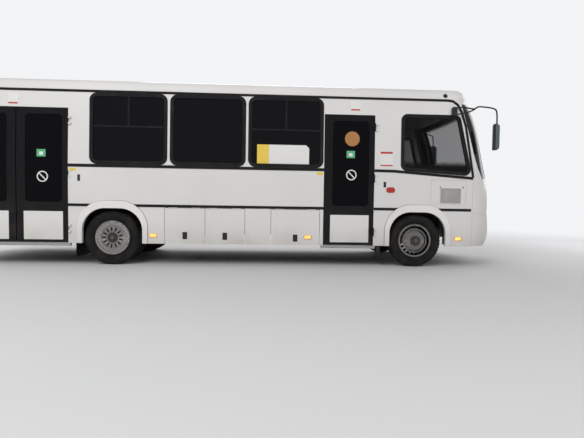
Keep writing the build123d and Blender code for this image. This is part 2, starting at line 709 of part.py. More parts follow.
def floor_deck():
    """Floor plate, cut out for the step wells, the wheel boxes and the engine."""
    deck = extrude(plan_inner(FLOOR_Z - FLOOR, WALL), amount=FLOOR, dir=(0, 0, 1))
    low, high = FLOOR_Z - 2 * FLOOR, FLOOR_Z + FLOOR
    deep = sum(going for _, going in TREADS)
    for x0, x1 in (FRONT_DOOR, REAR_DOOR):
        deck = deck - box(x0 + WELL_END, x1 - WELL_END, -1250.0, -WELL_Y + deep + SHEET,
                          low, high)
    deck = deck - box(4990, 5820, -345, 345, low, high)
    for axle_x, half, inner in WHEEL_BOXES:
        for side in (-1, 1):
            deck = deck - box(axle_x - half, axle_x + half, side * inner, side * 1250.0,
                              low, high)
    return deck


def wheel_boxes():
    """Raised covers over the wheels, open below and to the arches."""
    boxes = []
    for axle_x, half, inner in WHEEL_BOXES:
        for side in (-1, 1):
            y0, y1 = side * inner, side * floor_edge()
            outer = box(axle_x - half, axle_x + half, y0, y1, FLOOR_Z - FLOOR, WHEEL_BOX_TOP)
            inside = box(axle_x - half + SHEET, axle_x + half - SHEET, y0 + side * SHEET,
                         side * 1250.0, FLOOR_Z - 2 * FLOOR, WHEEL_BOX_TOP - SHEET)
            boxes.append(outer - inside)
    return boxes


def step_wells():
    """Steps of both doorways."""
    return [step_well(x0 + WELL_END, x1 - WELL_END, WELL_Y) for x0, x1 in (FRONT_DOOR, REAR_DOOR)]


def step_well(x0, x1, edge):
    """Steps and end plates of a doorway."""
    low, high = TREADS
    y1 = -edge + low[1]
    y2 = y1 + high[1]
    t = SHEET
    profile = Polyline((-edge, low[0]), (y1, low[0]), (y1, high[0]), (y2, high[0]),
                       (y2, FLOOR_Z), (y2 + t, FLOOR_Z), (y2 + t, high[0] - t),
                       (y1 + t, high[0] - t), (y1 + t, low[0] - t), (-edge, low[0] - t),
                       close=True)
    steps = Pos(x0, 0, 0) * extrude(Plane.YZ * make_face(profile), amount=x1 - x0)
    cheek = Polyline((-edge, low[0] - t), (y1 + t, low[0] - t), (y1 + t, high[0] - t),
                     (y2 + t, high[0] - t), (y2 + t, FLOOR_Z), (-edge, FLOOR_Z), close=True)
    plate = extrude(Plane.YZ * make_face(cheek), amount=t)
    return steps + Pos(x0, 0, 0) * plate + Pos(x1 - t, 0, 0) * plate


def door_sills():
    """Bright bars under the doorways."""
    bars = []
    for x0, x1 in (FRONT_DOOR, REAR_DOOR):
        bars.append(box(x0 - 30, x1 + 30, -1205.0, -1163.0, SILL_Z, SKIRT_Z))
    return bars


def chassis_frame():
    """Ladder frame: two channel rails, cross members and body bearers."""
    z0, z1 = RAIL_Z
    frame = None
    for side in (-1, 1):
        y = side * RAIL_Y
        rail = box(-2560, 5880, y - RAIL_WIDTH / 2, y + RAIL_WIDTH / 2, z0, z1)
        hollow = box(-2570, 5890, y - side * RAIL_WIDTH / 2 - side * 5,
                     y + side * (RAIL_WIDTH / 2 - 9), z0 + 9, z1 - 9)
        rail = rail - hollow
        frame = rail if frame is None else frame + rail
    for x in (-2480.0, -1500.0, -620.0, 620.0, 1600.0, 2700.0, 3900.0, 5830.0):
        frame = frame + box(x - 45, x + 45, -RAIL_Y - 27, RAIL_Y + 27, z0 + 20, z1 - 20)
    bearers = ((-2300.0, -1150.0), (-1650.0, -690.0), (-900.0, -690.0), (-560.0, -1150.0),
               (560.0, -1150.0), (1200.0, -1150.0), (1850.0, -1150.0), (2500.0, -1150.0),
               (3150.0, -1150.0), (3660.0, -690.0), (4150.0, -1150.0), (4940.0, -610.0),
               (5400.0, -1150.0))
    for x, reach in bearers:
        right = min(1150.0, 610.0 if x == 4940.0 else 1150.0)
        frame = frame + box(x - 30, x + 30, reach, right, z1, FLOOR_Z - FLOOR)
    frame = frame - box(5000, 5800, -RAIL_Y + 35, RAIL_Y - 35, z1 - 1, FLOOR_Z)
    for axle_x, seat_z in ((0.0, REAR_SEAT_Z), (WHEELBASE, FRONT_SEAT_Z)):
        for x in (axle_x - EYE_X, axle_x + EYE_X):
            for side in (-1, 1):
                frame = frame + box(x - 35, x + 35, side * (RAIL_Y + RAIL_WIDTH / 2 - 5),
                                    side * (SPRING_Y + 37), seat_z + EYE_UP + EYE, z1 - 20)
    for x, end, hole in TOW_PLATES:
        for side in (-1, 1):
            y = side * RAIL_Y
            plate = box(x, end, y - TOW_HALF, y + TOW_HALF, z0 - TOW_THICK, z0)
            frame = frame + plate
            frame = frame - Pos(hole, y, z0) * Cylinder(TOW_HOLE, 3 * TOW_THICK)
    return frame


def engine_block():
    """Engine and gearbox as one plain block in the front overhang."""
    engine = box(5060, 5780, -300, 300, 480, 1150)
    gearbox = box(4400, 5060, -160, 160, 470, 760)
    return engine + gearbox


def engine_hood():
    """Cover over the engine inside the cab."""
    outer = box(4950, 5860, -370, 370, FLOOR_Z, 1230)
    outer = fillet(outer.edges().filter_by(Axis.X).group_by(Axis.Z)[-1], 60.0)
    return outer - box(4965, 5845, -355, 355, FLOOR_Z - 5, 1200)


def front_axle():
    """Dropped front axle beam with an eye at each end for the kingpin."""
    x = WHEELBASE
    beam = box(x - 45, x + 45, -430, 430, 340, 440)
    for side in (-1, 1):
        arm = Polyline((side * 420, 340), (side * 420, 440), (side * 790, 470),
                       (side * 842, 470), (side * 842, 370), (side * 790, 370), close=True)
        beam = beam + Pos(x - 45, 0, 0) * extrude(Plane.YZ * make_face(arm), amount=90,
                                                   dir=(1, 0, 0))
        beam = beam + Pos(x, side * KINGPIN_Y, 420) * Cylinder(48, 120)
        beam = beam - Pos(x, side * KINGPIN_Y, 420) * Cylinder(PIN + 0.3, 130)
        beam = beam + box(x - 60, x + 60, side * (SPRING_Y - 45), side * (SPRING_Y + 45), 430,
                          FRONT_SEAT_Z)
    return beam


def rear_axle():
    """Rear axle casing with its round differential housing."""
    beam = Pos(0, 0, TYRE_RADIUS) * Rot(90, 0, 0) * Cylinder(62, 2 * 795.0)
    bowl = Pos(0, 0, TYRE_RADIUS) * Sphere(190)
    nose = Pos(180, 0, TYRE_RADIUS) * Rot(0, 90, 0) * Cylinder(75, 220)
    beam = beam + bowl + nose
    for side in (-1, 1):
        beam = beam + box(-70, 70, side * (SPRING_Y - 45), side * (SPRING_Y + 45), 400,
                          REAR_SEAT_Z)
    return beam


def spring_pack(axle_x, seat_z):
    """One spring: three curved leaves over each other and its two eyes."""
    pack = None
    for i, half in enumerate((SPRING_HALF, 520.0, 380.0)):
        lift = SPRING_RISE * (half / SPRING_HALF) ** 2
        low = seat_z + 22.0 * (2 - i)
        under = ThreePointArc((-half, low + lift), (0, low), (half, low + lift))
        over = ThreePointArc((half, low + lift + 22.0), (0, low + 22.0), (-half, low + lift + 22.0))
        face = Plane.XZ * make_face([*under.edges(), *over.edges(),
                                     Line((half, low + lift), (half, low + lift + 22.0)),
                                     Line((-half, low + lift + 22.0), (-half, low + lift))])
        leaf = extrude(face, amount=37.0, both=True)
        pack = leaf if pack is None else pack + leaf
    for end in (-1, 1):
        eye = Pos(end * EYE_X, 0, seat_z + EYE_UP) * Rot(90, 0, 0) * Cylinder(EYE, 74)
        pack = pack + eye
    return Pos(axle_x, 0, 0) * pack


def leaf_springs():
    """Four springs under the rails."""
    packs = []
    for axle_x, seat_z in ((0.0, REAR_SEAT_Z), (WHEELBASE, FRONT_SEAT_Z)):
        for side in (-1, 1):
            packs.append(Pos(0, side * SPRING_Y, 0) * spring_pack(axle_x, seat_z))
    return packs


def propshaft():
    """Propeller shaft from the gearbox to the rear axle, with its middle bearing."""
    start = Vector(4400.0, 0.0, 520.0)
    end = Vector(290.0, 0.0, TYRE_RADIUS)
    along = end - start
    middle = (start + end) * 0.5
    tube = Plane(origin=middle, z_dir=along) * Cylinder(45, along.length + 20.0)
    tube = tube & box(end.X, start.X, -60, 60, 300, 700)
    hanger = box(2670, 2730, -60, 60, 478, RAIL_Z[0] + 20)
    return tube + hanger


def fuel_tank():
    """Fuel tank on the left, under the floor."""
    tank = fillet(box(2650, 3700, 560, 1080, 380, 740).edges().filter_by(Axis.X), 70.0)
    for x in (2850.0, 3500.0):
        tank = tank + box(x - 30, x + 30, RAIL_Y + RAIL_WIDTH / 2, 562, 580, 700)
    return tank


def mudflaps():
    """Flaps before and behind the wheels."""
    flaps = []
    for side in (-1, 1):
        for x in (4196.0, 5330.0):
            flaps.append(box(x - 5, x + 5, side * 915.0, side * 1160.0, 95.0, FLOOR_Z - FLOOR))
        flaps.append(box(-545.0, -535.0, side * 640.0, side * 1160.0, 120.0, 760.0))
    return flaps


def knuckle(side):
    """Steering knuckle: fork round the axle's eye, kingpin and stub axle."""
    x = WHEELBASE
    y = side * KINGPIN_Y
    pin = Pos(x, y, 420) * Cylinder(PIN, 214)
    top = Pos(x, y, 508) * Cylinder(46, 46)
    low = Pos(x, y, 332) * Cylinder(46, 46)
    bridge = box(x - 42, x + 42, side * 936.0, side * 962.0, 309, 531)
    arms = box(x - 40, x + 40, y, side * 940.0, 487, 531)
    arms = arms + box(x - 40, x + 40, y, side * 940.0, 309, 353)
    stub = Pos(x, side * 990.0, TYRE_RADIUS) * Rot(90, 0, 0) * Cylinder(38, 80)
    return pin + top + low + bridge + arms + stub


def tyre_section(width):
    """Half outline of a tyre, turned about the axle: radius, distance from its middle."""
    half = width / 2
    return ((RIM_RADIUS - 13.0, half - 40.3), (RIM_RADIUS + 11.0, half - 40.3),
            (300.0, half - 12.0), (335.0, half), (380.0, half - 4.0),
            (TYRE_RADIUS - 10.0, half - 22.0), (TYRE_RADIUS, half - 34.0))


def tyre():
    """Tyre about the Y axis, centred on its middle plane."""
    half = tyre_section(TYRE_WIDTH)
    points = list(half) + [(r, -y) for r, y in reversed(half)]
    face = make_face(Polyline(*points, close=True))
    return Rot(90, 0, 0) * revolve(Plane.XZ * face, axis=Axis.Z)


def rim(profile, side, slots):
    """Rim and disc turned about the Y axis, disc on the outboard side.

    profile lists the disc's face: radius, distance outboard of the wheel's middle.
    """
    r = RIM_RADIUS
    barrel = ((r - 13.0, -84.0), (r - 13.0, 84.0), (r - 27.0, 84.0), (r - 27.0, -84.0))
    lips = [((r + 8.0, z), (r + 8.0, z + 12.0), (r - 27.0, z + 12.0), (r - 27.0, z))
            for z in (84.0, -96.0)]
    face = list(profile) + [(radius, z - 12.0) for radius, z in reversed(profile)]
    wheel = None
    for outline in (barrel, *lips, face):
        ring = revolve(Plane.XZ * make_face(Polyline(*outline, close=True)), axis=Axis.Z)
        wheel = ring if wheel is None else wheel + ring
    count, radius, long, wide = slots
    for i in range(count):
        slot = extrude(SlotOverall(long, wide), amount=150.0, both=True)
        wheel = wheel - Rot(0, 0, 360.0 / count * i) * Pos(radius, 0, 0) * slot
    return Rot(-90 * side, 0, 0) * wheel


def wheel_at(shape, x, y):
    """Wheel piece moved from the origin to its place on the axle."""
    return Pos(x, y, TYRE_RADIUS) * shape


FRONT_DISC = ((70.0, DISC), (150.0, DISC - 4.0), (195.0, DISC - 26.0), (222.0, DISC - 58.0),
              (RIM_RADIUS - 25.0, DISC - 92.0))
REAR_DISC = ((70.0, DISC), (172.0, DISC), (205.0, DISC - 30.0), (RIM_RADIUS - 25.0, DISC - 92.0))


def front_rim(side):
    """Front wheel with its hub, disc outboard."""
    hub = Pos(0, side * 35.0, 0) * Rot(90, 0, 0) * (Cylinder(80, 150) - Cylinder(39, 230))
    cap = Pos(0, side * (DISC + 12.0), 0) * Rot(90, 0, 0) * Cylinder(76, 44)
    wheel = rim(FRONT_DISC, side, (20, 208.0, 30.0, 15.0))
    return wheel_at(wheel + hub + cap, WHEELBASE, side * FRONT_WHEEL_Y)


def rear_rims(side):
    """Twin rear wheels, discs back to back on their common hub."""
    slots = (13, 128.0, 66.0, 20.0)
    middle = REAR_OUTER_Y - REAR_TWIN_STEP / 2
    outer = Pos(0, side * REAR_OUTER_Y, 0) * rim(REAR_DISC, -side, slots)
    inner = Pos(0, side * (REAR_OUTER_Y - REAR_TWIN_STEP), 0) * rim(REAR_DISC, side, slots)
    flange = Pos(0, side * middle, 0) * Rot(90, 0, 0) * Cylinder(92, REAR_TWIN_STEP - 2 * DISC)
    hub = Pos(0, side * 930.0, 0) * Rot(90, 0, 0) * Cylinder(80, 340)
    hub = hub - Pos(0, side * 700.0, 0) * Rot(90, 0, 0) * Cylinder(62.3, 200)
    return wheel_at(outer + inner + flange + hub, 0.0, 0.0)


def tyres_at(side, x, places):
    """Tyres of one wheel, one solid each."""
    return [wheel_at(tyre(), x, side * y) for y in places]


def lamps():
    """Headlamps, tail lamps, side markers, button plates and the red side lamp."""
    parts = []
    shell = end_shell(MASK_SECTIONS, 5000.0, 4.0, 60.0)
    for side in (-1, 1):
        parts.append(shell & front_prism(lamp_points(side), 60.0))
    rear = end_shell(REAR_SECTIONS, -REAR_SEAM_X, -6.0, 0.0, -1)
    for side in (-1, 1):
        for z in (900.0, 1040.0, 1180.0):
            points = tuple((side * y, z + dz) for y, dz in ((880, 0), (1030, 0), (1030, 110),
                                                            (880, 110)))
            parts.append(rear & rear_prism(points, 30.0))
        for x in (637.0, 3028.0, 5441.0) if side > 0 else (637.0, 5441.0):
            parts.append(side_panel(side, -9.0, 0.0, rectangle(x - 60, x + 60, 430, 492), 20.0))
        parts.append(side_panel(side, -9.0, 0.0, rectangle(4262, 4400, 1178, 1264), 42.0))
    return parts


def mirrors():
    """Outside mirrors: base housing, curved arm and head on each side."""
    parts = []
    route = ((5370.0, 1215.0, 2500.0), (5456.0, 1290.0, 2425.0), (5580.0, 1335.0, 2500.0),
             (5740.0, 1350.0, 2550.0), (5900.0, 1350.0, 2510.0), (5942.0, 1350.0, 2300.0))
    for side in (-1, 1):
        points = [(x, side * y, z) for x, y, z in route]
        path = FilletPolyline(*points, radius=45.0)
        arm = sweep(Plane(origin=path @ 0, z_dir=path % 0) * Circle(15.0), path=path)
        base = rectangle(5285, 5408, 2446, 2588)
        housing = side_panel(side, -48.0, -7.5, base, 24.0)
        foot = side_panel(side, -10.0, 0.0, rectangle(5297, 5350, 2460, 2560))
        head = box(5880, 6004, side * 1235.0, side * 1452.0, 1905, 2320)
        head = fillet(head.edges(), 30.0)
        parts.append(housing + foot + arm + head)
    return parts


def wipers():
    """Two wipers parked along the foot of the windscreen: spindle, arm and blade."""
    parts = []
    blade_shell = end_shell(SCREEN_SECTIONS, 5000.0, -20.0, 8.0)
    arm_shell = end_shell(SCREEN_SECTIONS, 5000.0, -30.0, -18.0)
    spindle_shell = end_shell(SCREEN_SECTIONS, 5000.0, -33.0, -0.3)
    for pivot, blade in ((-150.0, (-900.0, -180.0)), (820.0, (60.0, 780.0))):
        middle = (blade[0] + blade[1]) / 2
        strip = ((blade[0], 1478.0), (blade[1], 1478.0), (blade[1], 1490.0), (blade[0], 1490.0))
        arm = ((pivot - 8, 1404.0), (pivot + 8, 1404.0), (middle + 8, 1488.0), (middle - 8, 1480.0))
        round_end = Plane.YZ * Pos(pivot, 1408.0) * Circle(15.0)
        wiper = blade_shell & front_prism(strip)
        wiper = wiper + (arm_shell & front_prism(arm))
        wiper = wiper + (spindle_shell & Pos(5300, 0, 0) * extrude(round_end, amount=1200.0))
        parts.append(wiper)
    return parts


def passenger_seats():
    """Saloon seats: each cushion with its back is one solid."""
    pads = []
    left_rows = (3420.0, 2660.0, 1900.0, 1140.0, 380.0, -380.0, -1140.0)
    right_rows = (2420.0, 1660.0, 900.0, 140.0)
    for side, rows in ((1, left_rows), (-1, right_rows)):
        for x in rows:
            for y in (540.0, 950.0):
                pads.append(seat_pad(x, side * y, 400.0))
    for i in range(4):
        pads.append(seat_pad(-2400.0, -430.0 + 430.0 * i, 410.0))
    return pads


def seat_pad(x, y, width):
    """One seat: cushion and leaning back joined as one solid, back at x."""
    base = FLOOR_Z + 360.0
    profile = Polyline((x + 20, base), (x + 450, base), (x + 450, base + 105),
                       (x + 110, base + 85), (x - 10, base + 700), (x - 80, base + 690),
                       close=True)
    pad = extrude(Plane.XZ * make_face(profile), amount=width / 2, both=True)
    return Pos(0, y, 0) * pad


def seat_frames():
    """Pedestals of the saloon seats and the box under the rear bench."""
    legs = []
    left_rows = (3420.0, 2660.0, 1900.0, 1140.0, -1140.0)
    right_rows = (2420.0, 1660.0, 900.0)
    for side, rows in ((1, left_rows), (-1, right_rows)):
        for x in rows:
            legs.append(seat_leg(x, side, FLOOR_Z))
    for side, rows in ((1, (380.0, -380.0)), (-1, (140.0,))):
        for x in rows:
            legs.append(seat_leg(x, side, FLOOR_Z))
    bench = box(-2370, -2000, -640, 1060, FLOOR_Z, FLOOR_Z + 359.7)
    legs.append(bench + box(-2370, -2200, -1060, -640, FLOOR_Z, FLOOR_Z + 359.7))
    return legs


def seat_leg(x, side, foot):
    """Cross tube under a double seat with its single leg near the aisle."""
    tube = box(x + 90, x + 380, side * 345.0, side * 1145.0, FLOOR_Z + 320.0, FLOOR_Z + 359.7)
    leg = box(x + 200, x + 260, side * 420.0, side * 480.0, foot, FLOOR_Z + 320.0)
    return tube + leg


def driver_seat():
    """Driver's seat with its pedestal on the wheel box."""
    pad = Pos(0, 0, 60) * seat_pad(4330.0, 800.0, 480.0)
    return pad + box(4440, 4700, 700, 900, 940.0, FLOOR_Z + 470.0)


def dashboard():
    """Dashboard: driver's console on the left and a shelf over the engine cover."""
    console = box(5540, 5840, 385, 1060, FLOOR_Z, 1380)
    shelf = box(5600, 5840, -1060, 400, 1230, 1380)
    body = console + shelf
    return body - steering_bore()


def steering_line():
    """Frame of the steering column, its own Z axis up the column."""
    return Plane(origin=(5180, 800, 1480), z_dir=(-210, 0, 280))


def steering_bore():
    """Clearance for the column through the dashboard."""
    return steering_line() * Pos(0, 0, -400) * Cylinder(COLUMN + 0.2, 900)


def steering_wheel():
    """Steering wheel on its column."""
    line = steering_line()
    ring = line * Torus(225, 16)
    hub = line * Cylinder(60, 40)
    spokes = line * (Box(440, 30, 14) + Box(30, 440, 14))
    column = line * Pos(0, 0, -330) * Cylinder(COLUMN, 660)
    return ring + hub + spokes + column


def driver_partition():
    """Panel behind the driver, from the floor to the lower edge of the roof."""
    return box(4150, 4170, 380, 1150, FLOOR_Z, 2100)


def handrails():
    """Upright poles by the doorways, from the floor to the roof."""
    rails = []
    hollow = roof_block(ROOF, ROOF_TOP - ROOF, CANT - ROOF)
    for x, y in ((4120.0, -690.0), (3220.0, -690.0), (-590.0, -690.0), (-1410.0, -660.0)):
        low = Pos(x, y, (FLOOR_Z + EAVES_Z) / 2) * Cylinder(17, EAVES_Z - FLOOR_Z)
        high = Pos(x, y, EAVES_Z + 125.0) * Cylinder(17, 250)
        rails.append(low + (high & hollow))
    return rails


def write(name, shape):
    """Save a node, moved so that the origin is under the middle of the bus."""
    if isinstance(shape, list):
        solids = [s for piece in shape for s in piece.solids()]
    else:
        solids = list(shape.solids())
    moved = [Pos(-MIDDLE_X, 0, 0) * s for s in solids]
    export_step(Compound(children=moved) if len(moved) > 1 else moved[0],
                os.path.join("parts", name + ".step"))


def main():
    """Build every node and write its file."""
    os.makedirs("parts", exist_ok=True)
    write("chassis_frame", chassis_frame())
    write("floor_deck", floor_deck())
    write("wheel_boxes", wheel_boxes())
    write("step_wells", step_wells())
    write("engine_block", engine_block())
    write("engine_hood", engine_hood())
    write("front_axle", front_axle())
    write("rear_axle", rear_axle())
    write("leaf_springs", leaf_springs())
    write("propshaft", propshaft())
    write("fuel_tank", fuel_tank())
    write("right_wall", side_wall(-1))
    write("vent_grille", vent_grille())
    write("left_wall", side_wall(1))
    write("roof", roof())
    write("front_mask", front_moulding())
    write("front_bumper", front_bumper())
    write("windscreen", windscreen())
    write("rear_panel", rear_moulding())
    write("rear_bumper", rear_bumper())
    write("body_glazing", glazing())
    write("window_rubbers", window_rubbers())
    write("black_strips", black_strips())
    write("arch_trims", arch_trims())
    write("door_sills", door_sills())
    write("mudflaps", mudflaps())
    write("lamps", lamps())
    write("mirrors", mirrors())
    write("wipers", wipers())
    write("dashboard", dashboard())
    write("steering_wheel", steering_wheel())
    write("driver_seat", driver_seat())
    write("passenger_seats", passenger_seats())
    write("seat_frames", seat_frames())
    write("driver_partition", driver_partition())
    write("handrails", handrails())
    write("front_door", door_leaf(*FRONT_DOOR, "front_door"))
    write("front_door_glass", door_glass(*FRONT_DOOR, "front_door"))
    rear_leaves = {"rear_door_front_leaf": (REAR_SPLIT, REAR_DOOR[1]),
                   "rear_door_rear_leaf": (REAR_DOOR[0], REAR_SPLIT)}
    for name, (x0, x1) in rear_leaves.items():
        write(name, door_leaf(x0, x1, name))
        write(name + "_glass", door_glass(x0, x1, name))
    for name, (side, x0, x1) in LIDS.items():
        write(name, locker_lid(side, x0, x1))
    write("lid_marker_lamp", side_panel(-1, -9.0, 0.0, rectangle(2968, 3088, 430, 492), 20.0))
    for name, x in HATCHES.items():
        write(name, roof_hatch(x))
    for word, side in (("right", -1), ("left", 1)):
        write(word + "_knuckle", knuckle(side))
        write("front_" + word + "_rim", front_rim(side))
        write("front_" + word + "_tyre", tyres_at(side, WHEELBASE, (FRONT_WHEEL_Y,)))
        write("rear_" + word + "_rims", rear_rims(side))
        write("rear_" + word + "_tyres",
              tyres_at(side, 0.0, (REAR_OUTER_Y, REAR_OUTER_Y - REAR_TWIN_STEP)))


main()
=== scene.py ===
"""Midibus in a plain studio: finishes, treaded tyres, padded seats and small fittings."""
import math

import bmesh
import bpy
import numpy as np
from bpy.props import FloatProperty, FloatVectorProperty, IntProperty, PointerProperty
from mathutils import Matrix, Vector


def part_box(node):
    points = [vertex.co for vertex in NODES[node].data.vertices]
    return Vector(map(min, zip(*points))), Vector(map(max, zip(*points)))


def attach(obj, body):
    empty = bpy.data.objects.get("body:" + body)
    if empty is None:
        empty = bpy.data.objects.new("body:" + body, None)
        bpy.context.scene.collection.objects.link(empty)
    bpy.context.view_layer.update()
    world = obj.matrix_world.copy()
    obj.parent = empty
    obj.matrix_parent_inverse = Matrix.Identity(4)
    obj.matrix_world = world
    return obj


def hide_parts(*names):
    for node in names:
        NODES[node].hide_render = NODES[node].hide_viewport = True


bl_info = {
    "name": "Midibus dressing",
    "version": (1, 0, 0),
    "blender": (4, 5, 0),
    "location": "3D Viewport > Sidebar > Midibus",
    "description": "Builds the finishes and small fittings of the midibus on its packed frame",
    "category": "Object",
}

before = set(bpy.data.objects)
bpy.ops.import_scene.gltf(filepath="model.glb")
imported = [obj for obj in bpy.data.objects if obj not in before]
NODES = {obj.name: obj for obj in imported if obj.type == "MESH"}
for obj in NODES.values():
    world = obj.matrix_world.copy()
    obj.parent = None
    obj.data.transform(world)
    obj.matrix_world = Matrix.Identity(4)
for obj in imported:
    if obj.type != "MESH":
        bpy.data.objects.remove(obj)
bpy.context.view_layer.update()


def middle_of(node):
    """Middle of a CAD node's box."""
    low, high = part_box(node)
    return (low + high) / 2


# Every x in the tables and shapes below is a distance ahead of the rear axle
REAR_AXLE = middle_of("rear_left_rims")
FRONT_AXLE = middle_of("front_left_tyre")
WHEELBASE = FRONT_AXLE.x - REAR_AXLE.x
TYRE_RADIUS = (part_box("front_left_tyre")[1].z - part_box("front_left_tyre")[0].z) / 2
LEFT, RIGHT = 1.0, -1.0
SIDES = (("left", LEFT), ("right", RIGHT))
GLASS_DEPTH = 0.010           # outer face of the side glass under the skin
# Side section of the body: height, half width over the skin
SIDE_SECTION = ((0.336, 1.2070), (1.550, 1.2225), (2.650, 1.1945))


def along(x):
    """Place in the frame of a distance ahead of the rear axle."""
    return REAR_AXLE.x + x


def half_width(z):
    """Half width of the body at a height, on the straight lines of the side section."""
    return np.interp(z, *np.transpose(SIDE_SECTION))


# Meshes

def new_mesh(name, points, faces):
    """Mesh of an array of points and lists of their numbers."""
    mesh = bpy.data.meshes.new(name)
    mesh.from_pydata(points.tolist(), [], faces)
    return mesh


def add_object(name, data):
    """Object of a mesh, lamp or camera, linked to the scene."""
    item = bpy.data.objects.new(name, data)
    bpy.context.scene.collection.objects.link(item)
    return item


def side_place(side, depth=0.0):
    """Places on a side of the body: along the bus, height, distance out of the skin."""
    def place(x, z, out):
        return np.stack([x, side * (half_width(z) - depth + out), z], -1)
    return place


def flat_place(origin, across, up, out):
    """Places on a plane through origin: steps across, up and out of it."""
    origin, across, up, out = (np.array(v, float) for v in (origin, across, up, out))

    def place(a, b, c):
        return origin + a[..., None] * across + b[..., None] * up + c * out
    return place


def circle(count):
    """Angles of equal steps round a circle."""
    return np.linspace(0, 2 * math.pi, count, endpoint=False)


def rounded_outline(width, height, radius, steps):
    """Rectangle with rounded corners: four quarter circles about the corner centres."""
    radius = min(radius, width / 2, height / 2)
    turn = np.linspace(0, math.pi / 2, steps)
    angle = np.concatenate([turn + k * math.pi / 2 for k in range(4)])
    across = np.repeat([1, -1, -1, 1], steps) * (width / 2 - radius)
    up = np.repeat([1, 1, -1, -1], steps) * (height / 2 - radius)
    return np.stack([across + radius * np.cos(angle), up + radius * np.sin(angle)], -1)


def button(low, rim, inset, top):
    """Profile of a plate: straight up from low to its rim, then in by inset up to its top."""
    return (0.0, low), (0.0, rim), (inset, top)


class Form:
    """Closed shapes gathered into one mesh. Each is a grid of points: rings laid in a row."""

    def __init__(self):
        self.points, self.faces, self.count = [], [], 0

    def rings(self, grid, wrap=False):
        """Joins each ring to the next by quads; the end rings are closed flat, or joined."""
        grid = np.array(grid)
        rows, around, _ = grid.shape
        index = np.arange(rows * around).reshape(rows, around) + self.count
        near = index if wrap else index[:-1]
        far = np.roll(index, -1, 0) if wrap else index[1:]
        quads = np.stack([near, np.roll(near, -1, 1), np.roll(far, -1, 1), far], -1)
        self.faces += quads.reshape(-1, 4).tolist()
        if not wrap:
            self.faces += [index[0][::-1].tolist(), index[-1].tolist()]
        self.points.append(grid.reshape(-1, 3))
        self.count += rows * around

    def plate(self, place, centre, size, radius, profile, steps=6):
        """Plate: its rounded outline, moved in and lifted by each step of the profile."""
        rings = []
        for inset, out in profile:
            ring = rounded_outline(size[0] - 2 * inset, size[1] - 2 * inset,
                                   max(radius - inset, 1e-4), steps) + centre
            rings.append(place(ring[:, 0], ring[:, 1], out))
        self.rings(rings)

    def stud(self, place, centre, width, profile):
        """Round plate."""
        self.plate(place, centre, (width, width), width / 2, profile)

    def slab(self, place, outline, low, high):
        """Flat slab over any outline, from low to high out of its plane."""
        x, y = np.transpose(outline)
        self.rings([place(x, y, out) for out in (low, high)])

    def turned(self, profile, centre, side, steps=64, wrap=False):
        """Profile of radius and distance outboard, carried round the Y axis through centre."""
        profile = np.array(profile)
        angle = circle(steps)
        x = centre[0] + profile[:, :1] * np.cos(angle)
        z = centre[2] + profile[:, :1] * np.sin(angle)
        y = np.broadcast_to(centre[1] + side * profile[:, 1:], x.shape)
        self.rings(np.stack([x, y, z], -1), wrap)

    def tube(self, path, radius, steps):
        """Round tube: a circle square to the path at each point; no path runs along Y."""
        ahead = np.gradient(path, axis=0)
        ahead /= np.linalg.norm(ahead, axis=1, keepdims=True)
        across = np.cross(ahead, (0.0, 1.0, 0.0))
        across /= np.linalg.norm(across, axis=1, keepdims=True)
        over = np.cross(across, ahead)
        angle = circle(steps)[:, None]
        ring = across[:, None] * np.cos(angle) + over[:, None] * np.sin(angle)
        self.rings(path[:, None] + radius * ring)

    def build(self, name, body, look, slot=None, crease=35.0, node=None):
        """Makes the piece, turns its faces outwards and sets it on its body, for a node."""
        points = np.concatenate(self.points) + (REAR_AXLE.x, 0.0, 0.0)
        mesh = new_mesh(name, points, self.faces)
        work = bmesh.new()
        work.from_mesh(mesh)
        bmesh.ops.remove_doubles(work, verts=work.verts, dist=2e-6)
        bmesh.ops.recalc_face_normals(work, faces=work.faces)
        work.to_mesh(mesh)
        work.free()
        mesh.shade_smooth()
        mesh.set_sharp_from_angle(angle=math.radians(crease))
        mesh.materials.append(finish(look))
        piece = add_object(name, mesh)
        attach(piece, body)
        slot or look
        if node:
            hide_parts(node)


# Shader values

def arithmetic(operation, swapped=False):
    """Operator that adds a Math node to a value; a reflected one swaps its terms."""
    def method(self, other=0.0):
        first, second = (other, self) if swapped else (self, other)
        return self.nodes.add("ShaderNodeMath", {"operation": operation}, {0: first, 1: second})
    return method


class Value:
    """Output of a shader node. Expressions on values add Math nodes."""

    def __init__(self, nodes, socket):
        self.nodes, self.socket = nodes, socket

    __add__ = __radd__ = arithmetic("ADD")
    __sub__, __rsub__ = arithmetic("SUBTRACT"), arithmetic("SUBTRACT", True)
    __mul__ = __rmul__ = arithmetic("MULTIPLY")
    __truediv__, __rtruediv__ = arithmetic("DIVIDE"), arithmetic("DIVIDE", True)
    __pow__, __rpow__ = arithmetic("POWER"), arithmetic("POWER", True)
    least, most = arithmetic("MINIMUM"), arithmetic("MAXIMUM")
    absolute, sine = arithmetic("ABSOLUTE"), arithmetic("SINE")

    def ramp(self, start, end):
        """0 where the value is at start, 1 where it is at end, smooth in between."""
        return self.nodes.add("ShaderNodeMapRange", {"interpolation_type": "SMOOTHSTEP"},
                              {"Value": self, "From Min": start, "From Max": end})

    def between(self, low, high, soft=0.001):
        """1 where the value lies between low and high, 0 outside."""
        return self.ramp(low - soft, low + soft) * self.ramp(high + soft, high - soft)


def length(a, b):
    """Length of two values at right angles: the root of the sum of their squares."""
    return (a * a + b * b) ** 0.5


def line_at(value, start, end):
    """Straight line through two pairs of a place and the line's height there, at a value."""
    return start[1] + (value - start[0]) * ((end[1] - start[1]) / (end[0] - start[0]))


def scaled(colour, share):
    """Colour times a share."""
    return tuple(c * share for c in colour)


